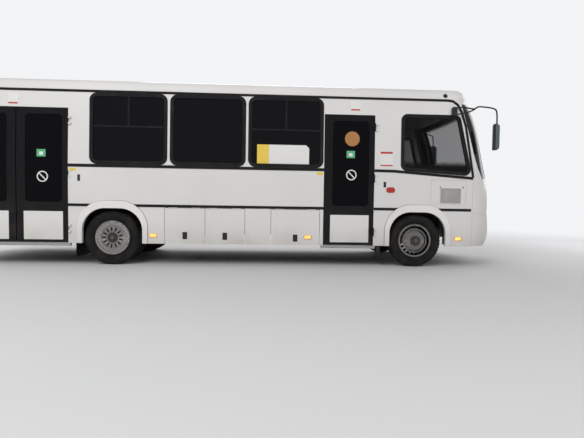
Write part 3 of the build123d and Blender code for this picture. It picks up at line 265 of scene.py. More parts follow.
class Nodes:
    """Node tree of a material or a world."""

    def __init__(self, tree):
        self.tree = tree

    def add(self, kind, settings=None, inputs=None, output=0):
        """Adds a node: its settings first, then the values or links of its sockets."""
        node = self.tree.nodes.new(kind)
        for key, value in (settings or {}).items():
            setattr(node, key, value)
        self.connect(node, inputs or {})
        return Value(self, node.outputs[output])

    def connect(self, node, inputs):
        """Sets or links the sockets of a node."""
        for key, value in inputs.items():
            if isinstance(value, Value):
                self.tree.links.new(value.socket, node.inputs[key])
            else:
                node.inputs[key].default_value = value


class Finish(Nodes):
    """A material round one Principled shader, with the nodes that vary it."""

    def __init__(self, name, colour, roughness, **constants):
        self.material = bpy.data.materials.new(name)
        self.material.use_nodes = True
        super().__init__(self.material.node_tree)
        self.shader = self.tree.nodes["Principled BSDF"]
        self.feed(base_color=(*colour, 1.0), roughness=roughness, **constants)
        self.place = self.add("ShaderNodeTexCoord", output="Object")
        parts = self.add("ShaderNodeSeparateXYZ", None, {0: self.place}).socket.node
        self.x, self.y, self.z = (Value(self, part) for part in parts.outputs)

    def feed(self, **inputs):
        """Sets or links sockets of the shader, named in small letters."""
        self.connect(self.shader, {key.replace("_", " ").title().replace("Ior", "IOR"): value
                                   for key, value in inputs.items()})

    def noise(self, scale, detail, stretch=(1.0, 1.0, 1.0)):
        """Cloudy pattern, about 0.5 in the middle; stretch squeezes it along each axis."""
        where = self.add("ShaderNodeMapping", None, {"Vector": self.place, "Scale": stretch})
        return self.add("ShaderNodeTexNoise", None,
                        {"Vector": where, "Scale": scale, "Detail": detail})

    def cells(self, scale):
        """Distance to scattered points, for speckles and chips."""
        return self.add("ShaderNodeTexVoronoi", None, {"Vector": self.place, "Scale": scale})

    def mix(self, factor, first, second):
        """Colour that goes from first to second as factor goes from 0 to 1."""
        inputs = {0: factor}
        for key, colour in ((6, first), (7, second)):
            inputs[key] = colour if isinstance(colour, Value) else (*colour, 1.0)
        return self.add("ShaderNodeMix", {"data_type": "RGBA"}, inputs, 2)

    def wear(self, patches, share, colour, tone, roughness, gain):
        """Feeds a colour that goes to a worn tone in patches, and is rougher there."""
        self.feed(base_color=self.mix(patches * share, colour, tone),
                  roughness=roughness + gain * patches)

    def bump(self, height, strength, distance):
        """Feeds the normal by a pattern of heights, and gives the finished material."""
        self.feed(normal=self.add("ShaderNodeBump", None, {
            "Height": height, "Strength": strength, "Distance": distance}))
        return self.material


# Paints

ROAD_DIRT = (0.30, 0.27, 0.235)
DOOR_JAMBS = (4.070, -0.640, -2.180)
# Raised lower panels of the door leaves: spans, heights
DOOR_PANELS = ((3.380, 3.992), (-1.300, -0.718), (-2.102, -1.520))
PANEL_HEIGHTS = (0.386, 0.818)
# Louvre slots of the front mask, painted black as the shade inside them: heights, half length,
# half height
LOUVRES = ((0.905, 0.947, 0.989, 1.031), 0.559, 0.0105)
# Side edge of the black glass band that carries the windscreen round the corners: z, x
GLASS_BAND = ((2.600, 5.452), (1.800, 5.668), (1.590, 5.740), (1.425, 5.830))


def body_colour(share=1.0):
    """Body paint, or a share of it."""
    return scaled(colours().paint, share)


def road_film(paint):
    """Film of road dirt: thick at the skirt, broken by clouds and faint runs down the side."""
    height = paint.z.ramp(0.75, 0.28)
    clouds = paint.noise(2.2, 5.0).ramp(0.3, 0.75)
    runs = paint.noise(9.0, 3.0, (1.0, 1.0, 0.09)).ramp(0.48, 0.8)
    return (height * (0.35 + 0.65 * clouds) + 0.12 * runs * paint.z.ramp(1.6, 0.5)).least(1.0)


def painted(name, colour, roughness, tone=0.93):
    """Coated paint with faint clouds: the finish, its road film, clouds and base colour."""
    paint = Finish(name, colour, roughness, coat_weight=0.35, coat_roughness=0.12)
    film = road_film(paint)
    clouds = paint.noise(0.9, 4.0).ramp(0.2, 0.8)
    base = paint.mix(clouds, scaled(colour, tone), colour)
    return paint, film, clouds, paint.mix(film * 0.42, base, ROAD_DIRT)


def orange_peel(paint, waves):
    """Material with slow waves and the fine dimples of sprayed paint."""
    return paint.bump(waves + paint.noise(420.0, 1.0) * 0.10, 0.10, 0.004)


def panel_waves(paint):
    """Slow waves of pressed panels."""
    return paint.noise(1.6, 2.0, (1.0, 1.0, 0.6)) * 0.9


def white_paint(name, share=1.0, roughness=0.3):
    """Off-white body paint: faint cloudiness, orange peel, road film near the skirt."""
    paint, film, clouds, base = painted(name, body_colour(share), roughness)
    paint.feed(base_color=base, roughness=roughness + 0.3 * film + 0.05 * clouds)
    return orange_peel(paint, panel_waves(paint))


def wall_paint(name):
    """Paint of the right wall; the door hinges' barrels outside its skin are black."""
    wall, film, _, base = painted(name, body_colour(), 0.3, 0.95)
    skin = line_at(wall.z, *SIDE_SECTION[:2]).least(line_at(wall.z, *SIDE_SECTION[1:]))
    outside = (skin + wall.y).ramp(-0.0015, -0.0025)
    hinges = sum((wall.x.between(along(x) - 0.009, along(x) + 0.009) for x in DOOR_JAMBS), 0)
    hinges = hinges * outside * wall.z.ramp(2.45, 2.44)
    wall.feed(base_color=wall.mix(hinges, base, (0.012, 0.012, 0.013)),
              roughness=0.3 + 0.3 * film + 0.15 * hinges)
    return orange_peel(wall, panel_waves(wall))


def mask_paint(name):
    """Moulding paint of the front mask, black beside the windscreen, with painted shade in its
    louvre slots.
    """
    mask, film, _, base = painted(name, body_colour(), 0.26)
    heights, half, rise = LOUVRES
    # Painted shade: the louvre slots are painted black as the dark inside of openings
    painted_slot_shade = sum((mask.z.between(z - rise, z + rise, 0.0005) for z in heights), 0)
    painted_slot_shade = painted_slot_shade * mask.y.between(-half, half)
    top, middle, bottom = (line_at(mask.z, *run) for run in zip(GLASS_BAND, GLASS_BAND[1:]))
    edge = along(top.most(middle).most(bottom))
    band = (mask.x - edge).ramp(-0.001, 0.001) * mask.z.between(GLASS_BAND[-1][0],
                                                               GLASS_BAND[0][0])
    mask.feed(base_color=mask.mix(painted_slot_shade.most(band), base, (0.008, 0.008, 0.009)),
              roughness=0.26 + 0.3 * film + 0.3 * painted_slot_shade - 0.2 * band)
    return orange_peel(mask, mask.noise(1.6, 2.0))


def door_black(name):
    """Black door frames; their raised lower panels are painted like the body outside."""
    black = (0.006, 0.006, 0.007)
    door = Finish(name, black, 0.38, specular_ior_level=0.25)
    dust = door.noise(4.0, 5.0).ramp(0.4, 0.85) * door.z.ramp(1.4, 0.3)
    base = door.mix(dust * 0.4, black, (0.060, 0.055, 0.050))
    skin = line_at(door.z, *SIDE_SECTION[:2])
    raised = (skin + door.y).ramp(0.0005, -0.0005) * door.z.between(*PANEL_HEIGHTS, 0.002)
    spans = sum((door.x.between(along(low), along(high), 0.002) for low, high in DOOR_PANELS), 0)
    white = door.mix(road_film(door) * 0.42, body_colour(), ROAD_DIRT)
    door.feed(base_color=door.mix(raised * spans, base, white), roughness=0.33 + 0.3 * dust)
    return door.bump(door.noise(260.0, 2.0), 0.08, 0.001)


# Glass and lamps

HEADLAMP = (0.855, 0.97)      # middle of a headlamp: distance from the middle of the bus, height


def wiping_marks(glass, scale, stretch=(1.0, 1.0, 1.0)):
    """Faint marks left by wiping."""
    return glass.noise(scale, 4.0, stretch).ramp(0.5, 0.9)


def tinted_glass(name):
    """Side glazing: dark tint in the saloon, half clear in the cab, faint wiping marks."""
    glass = Finish(name, (0.006, 0.007, 0.009), 0.04, ior=1.4, specular_ior_level=0.28)
    cab = glass.x.ramp(along(4.25), along(4.35))
    ahead = 0.45 + 0.55 * glass.x.ramp(along(4.6), along(4.9))
    clear = cab * glass.z.ramp(1.58, 1.70) * ahead
    glass.feed(alpha=0.98 - 0.68 * clear,
               roughness=0.03 + 0.05 * wiping_marks(glass, 5.0, (1.0, 1.0, 0.35)),
               base_color=glass.mix(cab, (0.0035, 0.0035, 0.005), (0.003, 0.0035, 0.004)))
    return glass.bump(glass.noise(1.2, 1.0), 0.03, 0.01)


def door_glass(name):
    """Door panes: nearly black, with faint wiping marks."""
    glass = Finish(name, (0.003, 0.003, 0.004), 0.04, ior=1.4, specular_ior_level=0.15)
    marks = wiping_marks(glass, 6.0, (1.0, 1.0, 0.4))
    glass.feed(alpha=0.97 + 0.02 * marks, roughness=0.03 + 0.05 * marks)
    return glass.bump(glass.noise(1.2, 1.0), 0.03, 0.01)


def screen_glass(name):
    """Windscreen: clear laminated glass with a dark edge band and wiping marks."""
    clear = (0.030, 0.036, 0.036)
    glass = Finish(name, clear, 0.04, ior=1.4, specular_ior_level=0.2)
    edge = glass.y.absolute().ramp(0.93, 1.0).most(glass.z.ramp(2.46, 2.54))
    edge = edge.most(glass.z.ramp(1.52, 1.47))
    glass.feed(alpha=0.34 + 0.6 * edge, roughness=0.03 + 0.06 * wiping_marks(glass, 3.0),
               base_color=glass.mix(edge, clear, (0.006, 0.006, 0.007)))
    return glass.bump(glass.noise(1.0, 1.0), 0.02, 0.01)


def mirror_face(name):
    """Silvered glass, slightly wavy and dusty."""
    glass = Finish(name, (0.75, 0.78, 0.78), 0.05, metallic=1.0)
    glass.feed(roughness=0.04 + 0.12 * wiping_marks(glass, 20.0))
    return glass.bump(glass.noise(6.0, 1.0), 0.04, 0.002)


def lens_plastic(name, colour, glow):
    """Lit lamp lens: fine prisms across it, deeper colour in clouds."""
    lens = Finish(name, colour, 0.12, coat_weight=0.5, emission_strength=glow)
    tone = lens.mix(lens.noise(30.0, 2.0).ramp(0.3, 0.8), scaled(colour, 0.6), colour)
    lens.feed(base_color=tone, emission_color=tone)
    return lens.bump((lens.x * 900.0).sine() + (lens.z * 900.0).sine(), 0.3, 0.0006)


def lamp_lens(name):
    """All CAD lamps: clear headlamps with painted shading of their chrome bowls, red and amber
    tail lamps, amber side markers.
    """
    lens = Finish(name, (0.5, 0.5, 0.5), 0.10, coat_weight=0.6)
    front = lens.x.ramp(along(5.55), along(5.6))
    rear = lens.x.ramp(along(-2.2), along(-2.3))
    tail = lens.mix(lens.z.ramp(1.10, 1.12), (0.50, 0.018, 0.012), (0.75, 0.26, 0.02))
    tail = lens.mix(lens.z.ramp(1.0, 0.98), tail, (0.62, 0.60, 0.58))
    side = lens.mix(lens.z.ramp(0.9, 1.0), (0.85, 0.36, 0.03), (0.42, 0.02, 0.012))
    # Headlamps: a dark bezel round the bowl; inside, a darker ring round a bright middle paints
    # the shading of a chrome reflector bowl, which the solid lamp hides
    bowl = length(lens.y.absolute() - HEADLAMP[0], lens.z - HEADLAMP[1])
    chrome = bowl.ramp(0.088, 0.080)
    bezel_and_painted_bowl_shading = lens.mix(chrome, (0.16, 0.17, 0.18), (0.62, 0.64, 0.66))
    bezel_and_painted_bowl_shading = lens.mix(chrome * bowl.ramp(0.060, 0.066), bezel_and_painted_bowl_shading, (0.30, 0.31, 0.32))
    lens.feed(base_color=lens.mix(rear, lens.mix(front, side, bezel_and_painted_bowl_shading), tail),
              metallic=front * chrome * 0.7)
    prisms = (lens.y * 700.0).sine() + (lens.z * 500.0).sine()
    return lens.bump(prisms + bowl * 20.0 * front, 0.25, 0.001)


# Rubber, metal, plastic and cloth

def black_rubber(name):
    """Rubber profile: fine grain, dusty greying in patches."""
    rubber = Finish(name, (0.009, 0.009, 0.010), 0.55, specular_ior_level=0.3)
    rubber.wear(rubber.noise(7.0, 5.0).ramp(0.45, 0.85), 0.4, (0.008, 0.008, 0.009),
                (0.040, 0.038, 0.037), 0.48, 0.25)
    return rubber.bump(rubber.noise(300.0, 2.0), 0.12, 0.001)


def tyre_rubber(name):
    """Tyre rubber: greyed by dust in patches, fine grain."""
    rubber = Finish(name, (0.010, 0.010, 0.010), 0.7, specular_ior_level=0.3)
    dust = rubber.noise(6.0, 6.0).ramp(0.35, 0.85)
    specks = rubber.noise(40.0, 3.0).ramp(0.45, 0.75)
    rubber.feed(base_color=rubber.mix(dust * 0.55 + specks * 0.15, (0.006, 0.006, 0.006),
                                      (0.045, 0.039, 0.034)),
                roughness=0.62 + 0.25 * dust)
    return rubber.bump(rubber.noise(180.0, 3.0), 0.2, 0.001)


def bright_wheel(name, axle_x, hub, ring, colour):
    """Polished wheel: swelling middle, spun rings, road film in the dish, a dark hub, and painted
    shade on the flange's outer edge under the tyre.
    """
    wheel = Finish(name, (0.45, 0.44, 0.43), 0.2, metallic=1.0)
    radius = length(wheel.x - axle_x, wheel.z - TYRE_RADIUS)
    film = wheel.noise(14.0, 5.0).ramp(0.35, 0.8) * (0.25 + 0.75 * radius.ramp(ring, 0.10))
    # Dark hub, and painted shade: the flange's outer edge is darkened where the tyre shades it
    dark_hub_and_flange_shade = radius.ramp(hub + 0.003, hub - 0.003).most(radius.ramp(0.2585, 0.2605))
    bright = wheel.mix(film * 0.7, colour, (0.13, 0.115, 0.10))
    wheel.feed(base_color=wheel.mix(dark_hub_and_flange_shade, bright, (0.030, 0.028, 0.027)),
               metallic=(1.0 - dark_hub_and_flange_shade * 0.9) * (1.0 - film * 0.45),
               roughness=0.14 + 0.22 * film + 0.3 * dark_hub_and_flange_shade)
    inner = radius.least(0.175) / 0.26
    swell = wheel.noise(9.0, 2.0) * 14.0 - inner * inner * 75.0
    spun = (radius * 900.0).sine() * 0.02
    return wheel.bump(spun + wheel.noise(120.0, 3.0) * 0.03 + swell, 1.0, 0.001)


def dark_steel(name, colour, metallic=0.0):
    """Painted or bare steel under the floor: dust, oil spots and specks of rust."""
    steel = Finish(name, colour, 0.5, metallic=metallic)
    dust = steel.noise(6.0, 6.0).ramp(0.35, 0.8)
    rust = steel.noise(26.0, 5.0).ramp(0.62, 0.75)
    base = steel.mix(dust * 0.7, colour, (0.10, 0.085, 0.07))
    steel.feed(base_color=steel.mix(rust * 0.6, base, (0.13, 0.055, 0.025)),
               roughness=0.5 + 0.3 * dust)
    return steel.bump(steel.noise(60.0, 4.0) + rust * 0.5, 0.25, 0.002)


def coated_metal(name, colour, roughness=0.4, metallic=0.0):
    """Powder coat or bare bright metal with handling scuffs."""
    coat = Finish(name, colour, roughness, metallic=metallic)
    coat.wear(coat.noise(18.0, 6.0).ramp(0.5, 0.8), 0.5, colour,
              tuple(c * 0.6 + 0.04 for c in colour), roughness, 0.2)
    return coat.bump(coat.noise(240.0, 2.0), 0.08, 0.0006)


def rail_coat(name):
    """Powder coat of the handrails."""
    return coated_metal(name, tuple(colours().rail))


def moulded_plastic(name, colour, roughness=0.55):
    """Moulded plastic: leather-like grain and slight fading."""
    plastic = Finish(name, colour, roughness)
    plastic.wear(plastic.noise(4.0, 4.0).ramp(0.35, 0.8), 0.4, colour,
                 tuple(c * 1.5 + 0.01 for c in colour), roughness, 0.12)
    return plastic.bump(plastic.cells(500.0), 0.18, 0.0006)


def print_film(name, colour):
    """Printed adhesive film: slight mottling and fine wrinkles."""
    film = Finish(name, colour, 0.35)
    film.wear(film.noise(60.0, 4.0).ramp(0.3, 0.8), 0.35, colour, scaled(colour, 0.8), 0.35, 0.15)
    return film.bump(film.noise(35.0, 2.0), 0.08, 0.001)


def seat_cloth(name):
    """Woven seat cloth: crossed threads from two sine waves, flecks and worn, paler crowns."""
    cloth = Finish(name, (0.035, 0.05, 0.10), 0.9, sheen_weight=0.3)
    across, along_bus, up = ((axis * 2600.0).sine() for axis in (cloth.x, cloth.y, cloth.z))
    wear = cloth.noise(5.0, 4.0).ramp(0.4, 0.8)
    base = cloth.mix(wear * 0.4, (0.030, 0.045, 0.095), (0.075, 0.09, 0.14))
    flecks = cloth.cells(95.0).ramp(0.22, 0.08)
    cloth.feed(base_color=cloth.mix(flecks * 0.7, base, (0.22, 0.25, 0.32)),
               roughness=0.85 + 0.1 * wear)
    return cloth.bump(across * along_bus * 0.6 + up * 0.4, 0.25, 0.0006)


def floor_vinyl(name):
    """Speckled floor vinyl above, tarred and dusty ply and steel below."""
    vinyl = Finish(name, (0.15, 0.15, 0.16), 0.6)
    above = vinyl.z.ramp(0.842, 0.852)
    steps = vinyl.y.ramp(-0.70, -0.72) * vinyl.z.ramp(0.345, 0.352)
    top = vinyl.mix(vinyl.cells(160.0).ramp(0.3, 0.1), (0.13, 0.13, 0.14), (0.30, 0.30, 0.31))
    scuff = vinyl.noise(8.0, 5.0).ramp(0.5, 0.85)
    top = vinyl.mix(scuff * 0.4, top, (0.22, 0.20, 0.18))
    low = vinyl.mix(vinyl.noise(5.0, 5.0).ramp(0.3, 0.8), (0.020, 0.019, 0.018),
                    (0.075, 0.065, 0.055))
    vinyl.feed(base_color=vinyl.mix(above.most(steps), low, top),
               roughness=0.75 - 0.2 * above + 0.1 * scuff)
    return vinyl.bump(vinyl.cells(220.0), 0.12, 0.001)


# Finish: its maker and what follows its name there
MAKERS = {
    "body_white": (white_paint,),
    "moulding_white": (white_paint, 1.0, 0.26),
    "trim_white": (white_paint, 1.12),
    "wall_paint": (wall_paint,),
    "mask_paint": (mask_paint,),
    "door_black": (door_black,),
    "tinted_glass": (tinted_glass,),
    "door_glass": (door_glass,),
    "screen_glass": (screen_glass,),
    "mirror_face": (mirror_face,),
    "lamp_lens": (lamp_lens,),
    "amber_lens": (lens_plastic, (1.0, 0.60, 0.18), 1.1),
    "black_rubber": (black_rubber,),
    "tyre_rubber": (tyre_rubber,),
    "front_wheel": (bright_wheel, FRONT_AXLE.x, 0.078, 0.19, (0.30, 0.29, 0.28)),
    "rear_wheel": (bright_wheel, REAR_AXLE.x, 0.082, 0.17, (0.42, 0.40, 0.39)),
    "frame_black": (dark_steel, (0.022, 0.021, 0.020)),
    "axle_black": (dark_steel, (0.030, 0.028, 0.026)),
    "cast_iron": (dark_steel, (0.09, 0.088, 0.085)),
    "spring_steel": (dark_steel, (0.05, 0.048, 0.045)),
    "shaft_steel": (dark_steel, (0.12, 0.115, 0.11), 0.6),
    "tank_paint": (dark_steel, (0.035, 0.035, 0.036)),
    "frame_grey": (coated_metal, (0.22, 0.22, 0.23)),
    "sill_aluminium": (coated_metal, (0.52, 0.52, 0.51), 0.35, 0.9),
    "rail_yellow": (rail_coat,),
    "grille_grey": (moulded_plastic, (0.46, 0.45, 0.44)),
    "cab_plastic": (moulded_plastic, (0.055, 0.057, 0.062)),
    "black_plastic": (moulded_plastic, (0.018, 0.018, 0.019)),
    "mirror_shell": (moulded_plastic, (0.075, 0.102, 0.104), 0.42),
    "white_film": (print_film, (0.74, 0.73, 0.71)),
    "yellow_film": (print_film, (0.78, 0.56, 0.09)),
    "green_film": (print_film, (0.10, 0.42, 0.20)),
    "orange_film": (print_film, (0.40, 0.19, 0.065)),
    "red_film": (print_film, (0.50, 0.05, 0.05)),
    "seat_cloth": (seat_cloth,),
    "floor_vinyl": (floor_vinyl,),
}
FINISHES = {}

# Finish: starts of the names of the CAD nodes that have it
NODE_FINISHES = {
    "body_white": "left_wall roof right_locker_lid left_locker_lid",
    "moulding_white": "roof_hatch front_bumper rear_panel rear_bumper",
    "trim_white": "arch_trims",
    "wall_paint": "right_wall",
    "mask_paint": "front_mask",
    "door_black": "front_door rear_door_front_leaf rear_door_rear_leaf",
    "tinted_glass": "body_glazing",
    "door_glass": "front_door_glass rear_door_front_leaf_glass rear_door_rear_leaf_glass",
    "screen_glass": "windscreen",
    "lamp_lens": "lamps lid_marker_lamp",
    "black_rubber": "window_rubbers black_strips mudflaps",
    "tyre_rubber": "front_left_tyre front_right_tyre rear_left_tyres rear_right_tyres",
    "front_wheel": "front_left_rim front_right_rim",
    "rear_wheel": "rear_left_rims rear_right_rims",
    "frame_black": "chassis_frame",
    "axle_black": "front_axle rear_axle left_knuckle right_knuckle",
    "cast_iron": "engine_block",
    "spring_steel": "leaf_springs",
    "shaft_steel": "propshaft",
    "tank_paint": "fuel_tank",
    "frame_grey": "seat_frames",
    "sill_aluminium": "door_sills",
    "rail_yellow": "handrails",
    "grille_grey": "vent_grille",
    "cab_plastic": "engine_hood dashboard driver_partition",
    "black_plastic": "mirrors wipers steering_wheel",
    "seat_cloth": "driver_seat passenger_seats",
    "floor_vinyl": "floor_deck wheel_boxes step_wells",
}


def finish(name):
    """Finish of that name, made once."""
    if name not in FINISHES:
        maker, *values = MAKERS[name]
        FINISHES[name] = maker(name, *values)
    return FINISHES[name]


def node_finish(node):
    """Name of the finish with the longest listed start of a node's name."""
    starts = [(len(start), look) for look, names in NODE_FINISHES.items()
              for start in names.split() if node.startswith(start)]
    if not starts:
        raise RuntimeError(f"no finish is set for {node}")
    return max(starts)[1]


# Settings

def colour_setting(name, description, default):
    return FloatVectorProperty(name=name, description=description, subtype="COLOR", size=3,
                               min=0.0, max=1.0, default=default)


class MidibusColours(bpy.types.PropertyGroup):
    """Colours that a user would change."""

    paint: colour_setting("Body paint", "Off-white of the body", (0.71, 0.69, 0.67))
    rail: colour_setting("Handrails", "Powder coat of the handrails", (0.72, 0.50, 0.04))
    floor: colour_setting("Studio floor", "Pale floor under the bus", (0.62, 0.62, 0.62))


class MidibusSizes(bpy.types.PropertyGroup):
    """Sizes of the fittings."""

    pitches: IntProperty(name="Tread pitches", description="Blocks round each tyre",
                         default=48, min=24, max=96)
    groove: FloatProperty(name="Groove depth", description="Depth of the tread grooves",
                          default=0.011, min=0.002, max=0.02, unit="LENGTH")
    latch: FloatVectorProperty(name="Lid latch", description="Width and height of a lid latch",
                               size=2, default=(0.071, 0.111), unit="LENGTH")
    marker: FloatVectorProperty(name="Side marker", description="Width and height of a marker",
                                size=2, default=(0.110, 0.050), unit="LENGTH")


def sizes():
    return bpy.context.scene.midibus_sizes


def colours():
    return bpy.context.scene.midibus_colours


class MIDIBUS_OT_finishes(bpy.types.Operator):
    """Give every CAD node its finish"""
    bl_idname = "midibus.finishes"
    bl_label = "Finishes of the frame"

    def execute(self, context):
        for name, node in NODES.items():
            node.data.materials.clear()
            node.data.materials.append(finish(node_finish(name)))
        return {"FINISHED"}


# Wheels

# Axle: end of the bus, end of its nodes' names, place, nuts' ring, tyres' distances from the
# middle of the bus
AXLES = (("front", "", WHEELBASE, 0.052, (1.046,)), ("rear", "s", 0.0, 0.060, (1.052, 0.766)))
# Half of a tyre's side, from bead to shoulder: radius, distance from the tyre's middle
TYRE_SIDE = ((0.2525, 0.0800), (0.2600, 0.0832), (0.2745, 0.0836), (0.2760, 0.0850),
             (0.2860, 0.0960), (0.2960, 0.1078), (0.2990, 0.1105), (0.3030, 0.1105),
             (0.3060, 0.1135), (0.3200, 0.1188), (0.3225, 0.1215), (0.3270, 0.1220),
             (0.3295, 0.1205), (0.3420, 0.1232), (0.3580, 0.1234), (0.3720, 0.1215),
             (0.3840, 0.1180), (0.3860, 0.1190), (0.3885, 0.1183), (0.3895, 0.1160),
             (0.3990, 0.1100), (0.4060, 0.1040))
# Half of the tread, from shoulder to middle: distance, 1 at a groove's floor, swing of the edge
TREAD_HALF = ((0.0985, 0, 0), (0.0900, 0, 0), (0.0630, 0, 1), (0.0600, 1, 1), (0.0540, 1, 1),
              (0.0510, 0, 1), (0.0240, 0, -1), (0.0215, 1, -1), (0.0160, 1, -1),
              (0.0135, 0, -1), (0.0, 0, 0))
CROWN_DROP = (0.0006, 0.004)  # how far the tread stays under the radius: middle, more at the edge
SWING = 0.0035                # how far the groove edges swing from side to side
PITCH_STEPS = (0.0, 0.30, 0.36, 0.50, 0.64, 0.70)    # places across one tread pitch
NOTCH = (0, 0, 1, 1, 1, 0)    # where the shoulder notch is open
NOTCH_DEPTH = 0.7             # share of the groove's depth
SHOULDER, NOTCH_START = 0.055, 0.061     # how far out the shoulder and its notch begin
HUB_NUTS = 8
NUT = ((0.0115, 0.0), (0.0115, 0.012), (0.009, 0.0145))
STUD = ((0.0052, 0.010), (0.0052, 0.020), (0.004, 0.0215))
HUB_CAP = ((0.034, 0.0), (0.034, 0.010), (0.030, 0.018), (0.018, 0.022), (0.004, 0.023))
# Cover of an outer rear wheel: profiles of radius and distance outboard of the tyre's middle
COVER_DISH = ((0.160, 0.0880), (0.172, 0.0875), (0.200, 0.0780), (0.214, 0.0780),
              (0.2385, 0.0880), (0.2385, 0.0830), (0.214, 0.0730), (0.198, 0.0730),
              (0.172, 0.0825), (0.160, 0.0830))
COVER_BOSS = ((0.078, 0.0895), (0.098, 0.0885), (0.098, 0.0835), (0.078, 0.0845))
DRUM = ((0.080, 0.045), (0.080, 0.094), (0.077, 0.0965), (0.050, 0.0965))
SPOKE = ((0.094, -0.0125), (0.165, -0.0290), (0.165, 0.0290), (0.094, 0.0125))
SPOKE_FACES = (0.0835, 0.0878)
SPOKES = 13


def wheel_sets():
    """Each wheel set: names' start and end, side, place of the axle, nuts' ring, tyres."""
    for end, plural, x, ring, tyres in AXLES:
        for tag, side in SIDES:
            yield f"{end}_{tag}_", plural, side, x, ring, tyres


def tyre_grid(x, y):
    """Tyre: its section carried round the axle, closed both ways.

    Radius is the section's, less the groove depth where a groove or a shoulder notch runs;
    the groove edges swing along the axle as a triangle wave, one swing to a pitch.
    """
    pitches, groove = sizes().pitches, sizes().groove
    side, tread = np.array(TYRE_SIDE), np.array(TREAD_HALF)
    crown = TYRE_RADIUS - CROWN_DROP[0] - CROWN_DROP[1] * (tread[:, 0] / tread[0, 0]) ** 2
    half = np.concatenate([np.c_[side, np.zeros((len(side), 3))],
                           np.c_[crown, tread, tread[:, 0] > SHOULDER]])
    radius, across, floor, swing, shoulder = np.concatenate(
        [half, half[-2::-1] * (1, -1, 1, 1, 1)]).T[:, :, None]
    phase = (np.arange(pitches)[:, None] + np.array(PITCH_STEPS)).ravel()
    wave = 2 * np.abs(2 * (phase % 1.0) - 1) - 1
    angle = phase * 2 * math.pi / pitches
    notch = shoulder * np.tile(NOTCH, pitches) * (np.abs(across) > NOTCH_START)
    radius = radius - groove * np.maximum(floor, NOTCH_DEPTH * notch)
    return np.stack([x + radius * np.cos(angle), y + across + SWING * swing * wave,
                     TYRE_RADIUS + radius * np.sin(angle)], -1)


class MIDIBUS_OT_tyres(bpy.types.Operator):
    """Build the tyres with their tread"""
    bl_idname = "midibus.tyres"
    bl_label = "Tyres"

    def execute(self, context):
        for start, plural, side, x, _, tyres in wheel_sets():
            form = Form()
            for y in tyres:
                form.rings(tyre_grid(x, side * y), wrap=True)
            node = start + "tyre" + plural
            form.build("treaded_" + node, start + "wheel" + plural, "tyre_rubber", crease=50.0,
                       node=node)
        return {"FINISHED"}


class MIDIBUS_OT_hub_nuts(bpy.types.Operator):
    """Build the nuts and caps of the four hubs"""
    bl_idname = "midibus.hub_nuts"
    bl_label = "Hub nuts"

    def execute(self, context):
        for start, plural, side, x, ring, _ in wheel_sets():
            low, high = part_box(start + "rim" + plural)
            reach = max(abs(low.y), abs(high.y))
            body = start + "wheel" + plural
            form = Form()
            for angle in circle(HUB_NUTS):
                seat = (x + ring * math.cos(angle), side * (reach - 0.003),
                        TYRE_RADIUS + ring * math.sin(angle))
                form.turned(NUT, seat, side, steps=6)
                form.turned(STUD, seat, side, steps=10)
            form.turned(HUB_CAP, (x, side * (reach - 0.004), TYRE_RADIUS), side, steps=40)
            form.build("hub_nuts_" + body, body, "cast_iron", "wheel_bright")
        return {"FINISHED"}


class MIDIBUS_OT_rear_covers(bpy.types.Operator):
    """Build the slotted covers and hub drums of the outer rear wheels"""
    bl_idname = "midibus.rear_covers"
    bl_label = "Rear wheel covers"

    def execute(self, context):
        for tag, side in SIDES:
            form = Form()
            centre = (0.0, side * AXLES[1][-1][0], TYRE_RADIUS)
            form.turned(COVER_DISH, centre, side, 96, wrap=True)
            form.turned(COVER_BOSS, centre, side, 96, wrap=True)
            form.turned(DRUM, centre, side)
            for angle in circle(SPOKES):
                out = (math.cos(angle), 0.0, math.sin(angle))
                place = flat_place(centre, out, (-out[2], 0.0, out[0]), (0.0, side, 0.0))
                form.slab(place, SPOKE, *SPOKE_FACES)
            form.build("rear_wheel_cover_" + tag, f"rear_{tag}_wheels", "rear_wheel",
                       "wheel_bright")
        return {"FINISHED"}


# Seats

# Saloon seats: side, places of their backs; pairs at two distances from the middle of the bus
SEAT_ROWS = ((LEFT, (3.420, 2.660, 1.900, 1.140, 0.380, -0.380, -1.140)),
             (RIGHT, (2.420, 1.660, 0.900, 0.140)))
SEAT_PAIRS = (0.540, 0.950)
BENCH = [(-2.400, -0.430 + 0.430 * i) for i in range(4)]
SEAT_BASE = 1.220             # underside of the saloon cushions
CUSHION = (0.415, 0.385, 0.088)
BACK = (0.640, 0.385, 0.078)
BACK_LEAN = math.radians(-9.6)
UPRIGHT = math.pi / 2
# Filling of the pads: size of the even mesh, how far a point may move, pressure, frames
CUSHION_MESH, BACK_MESH = 0.013, 0.015
SALOON_PUFF, DRIVER_PUFF = 0.008, 0.010
PRESSURE, FRAMES = 4.0, 20
# Driver's seat: middle of its back's foot, sizes of both pads and of the bellows pedestal
DRIVER = np.array((4.330, 0.800, 1.280))
DRIVER_CUSHION = (0.430, 0.465, 0.108)
DRIVER_BACK = (0.660, 0.465, 0.096)
PEDESTAL = (0.255, 0.200, 0.335)
BELLOWS, BELLOWS_DEPTH = 9, 0.022


def signed_power(value, power):
    return np.sign(value) * np.abs(value) ** power


def pad_grid(size, around=44, over=22, square=0.32, edge=0.55, pull=0.03):
    """Crowned pad, a squared-off ball.

    Width and length follow signed powers of cosine and sine round it, the height a signed
    power of the sine over it; the sides pull in between the corners by a share of the size.
    """
    u = circle(around)
    v = np.linspace(-math.pi / 2, math.pi / 2, over)[1:-1, None]
    a, b = signed_power(np.cos(u), square), signed_power(np.sin(u), square)
    reach = np.abs(np.cos(v)) ** edge * (1 - pull * (1 - np.abs(a * b))) / 2
    height = np.broadcast_to(signed_power(np.sin(v), 0.75) / 2, reach.shape)
    return np.stack([size[0] * reach * a, size[1] * reach * b, size[2] * height], -1)


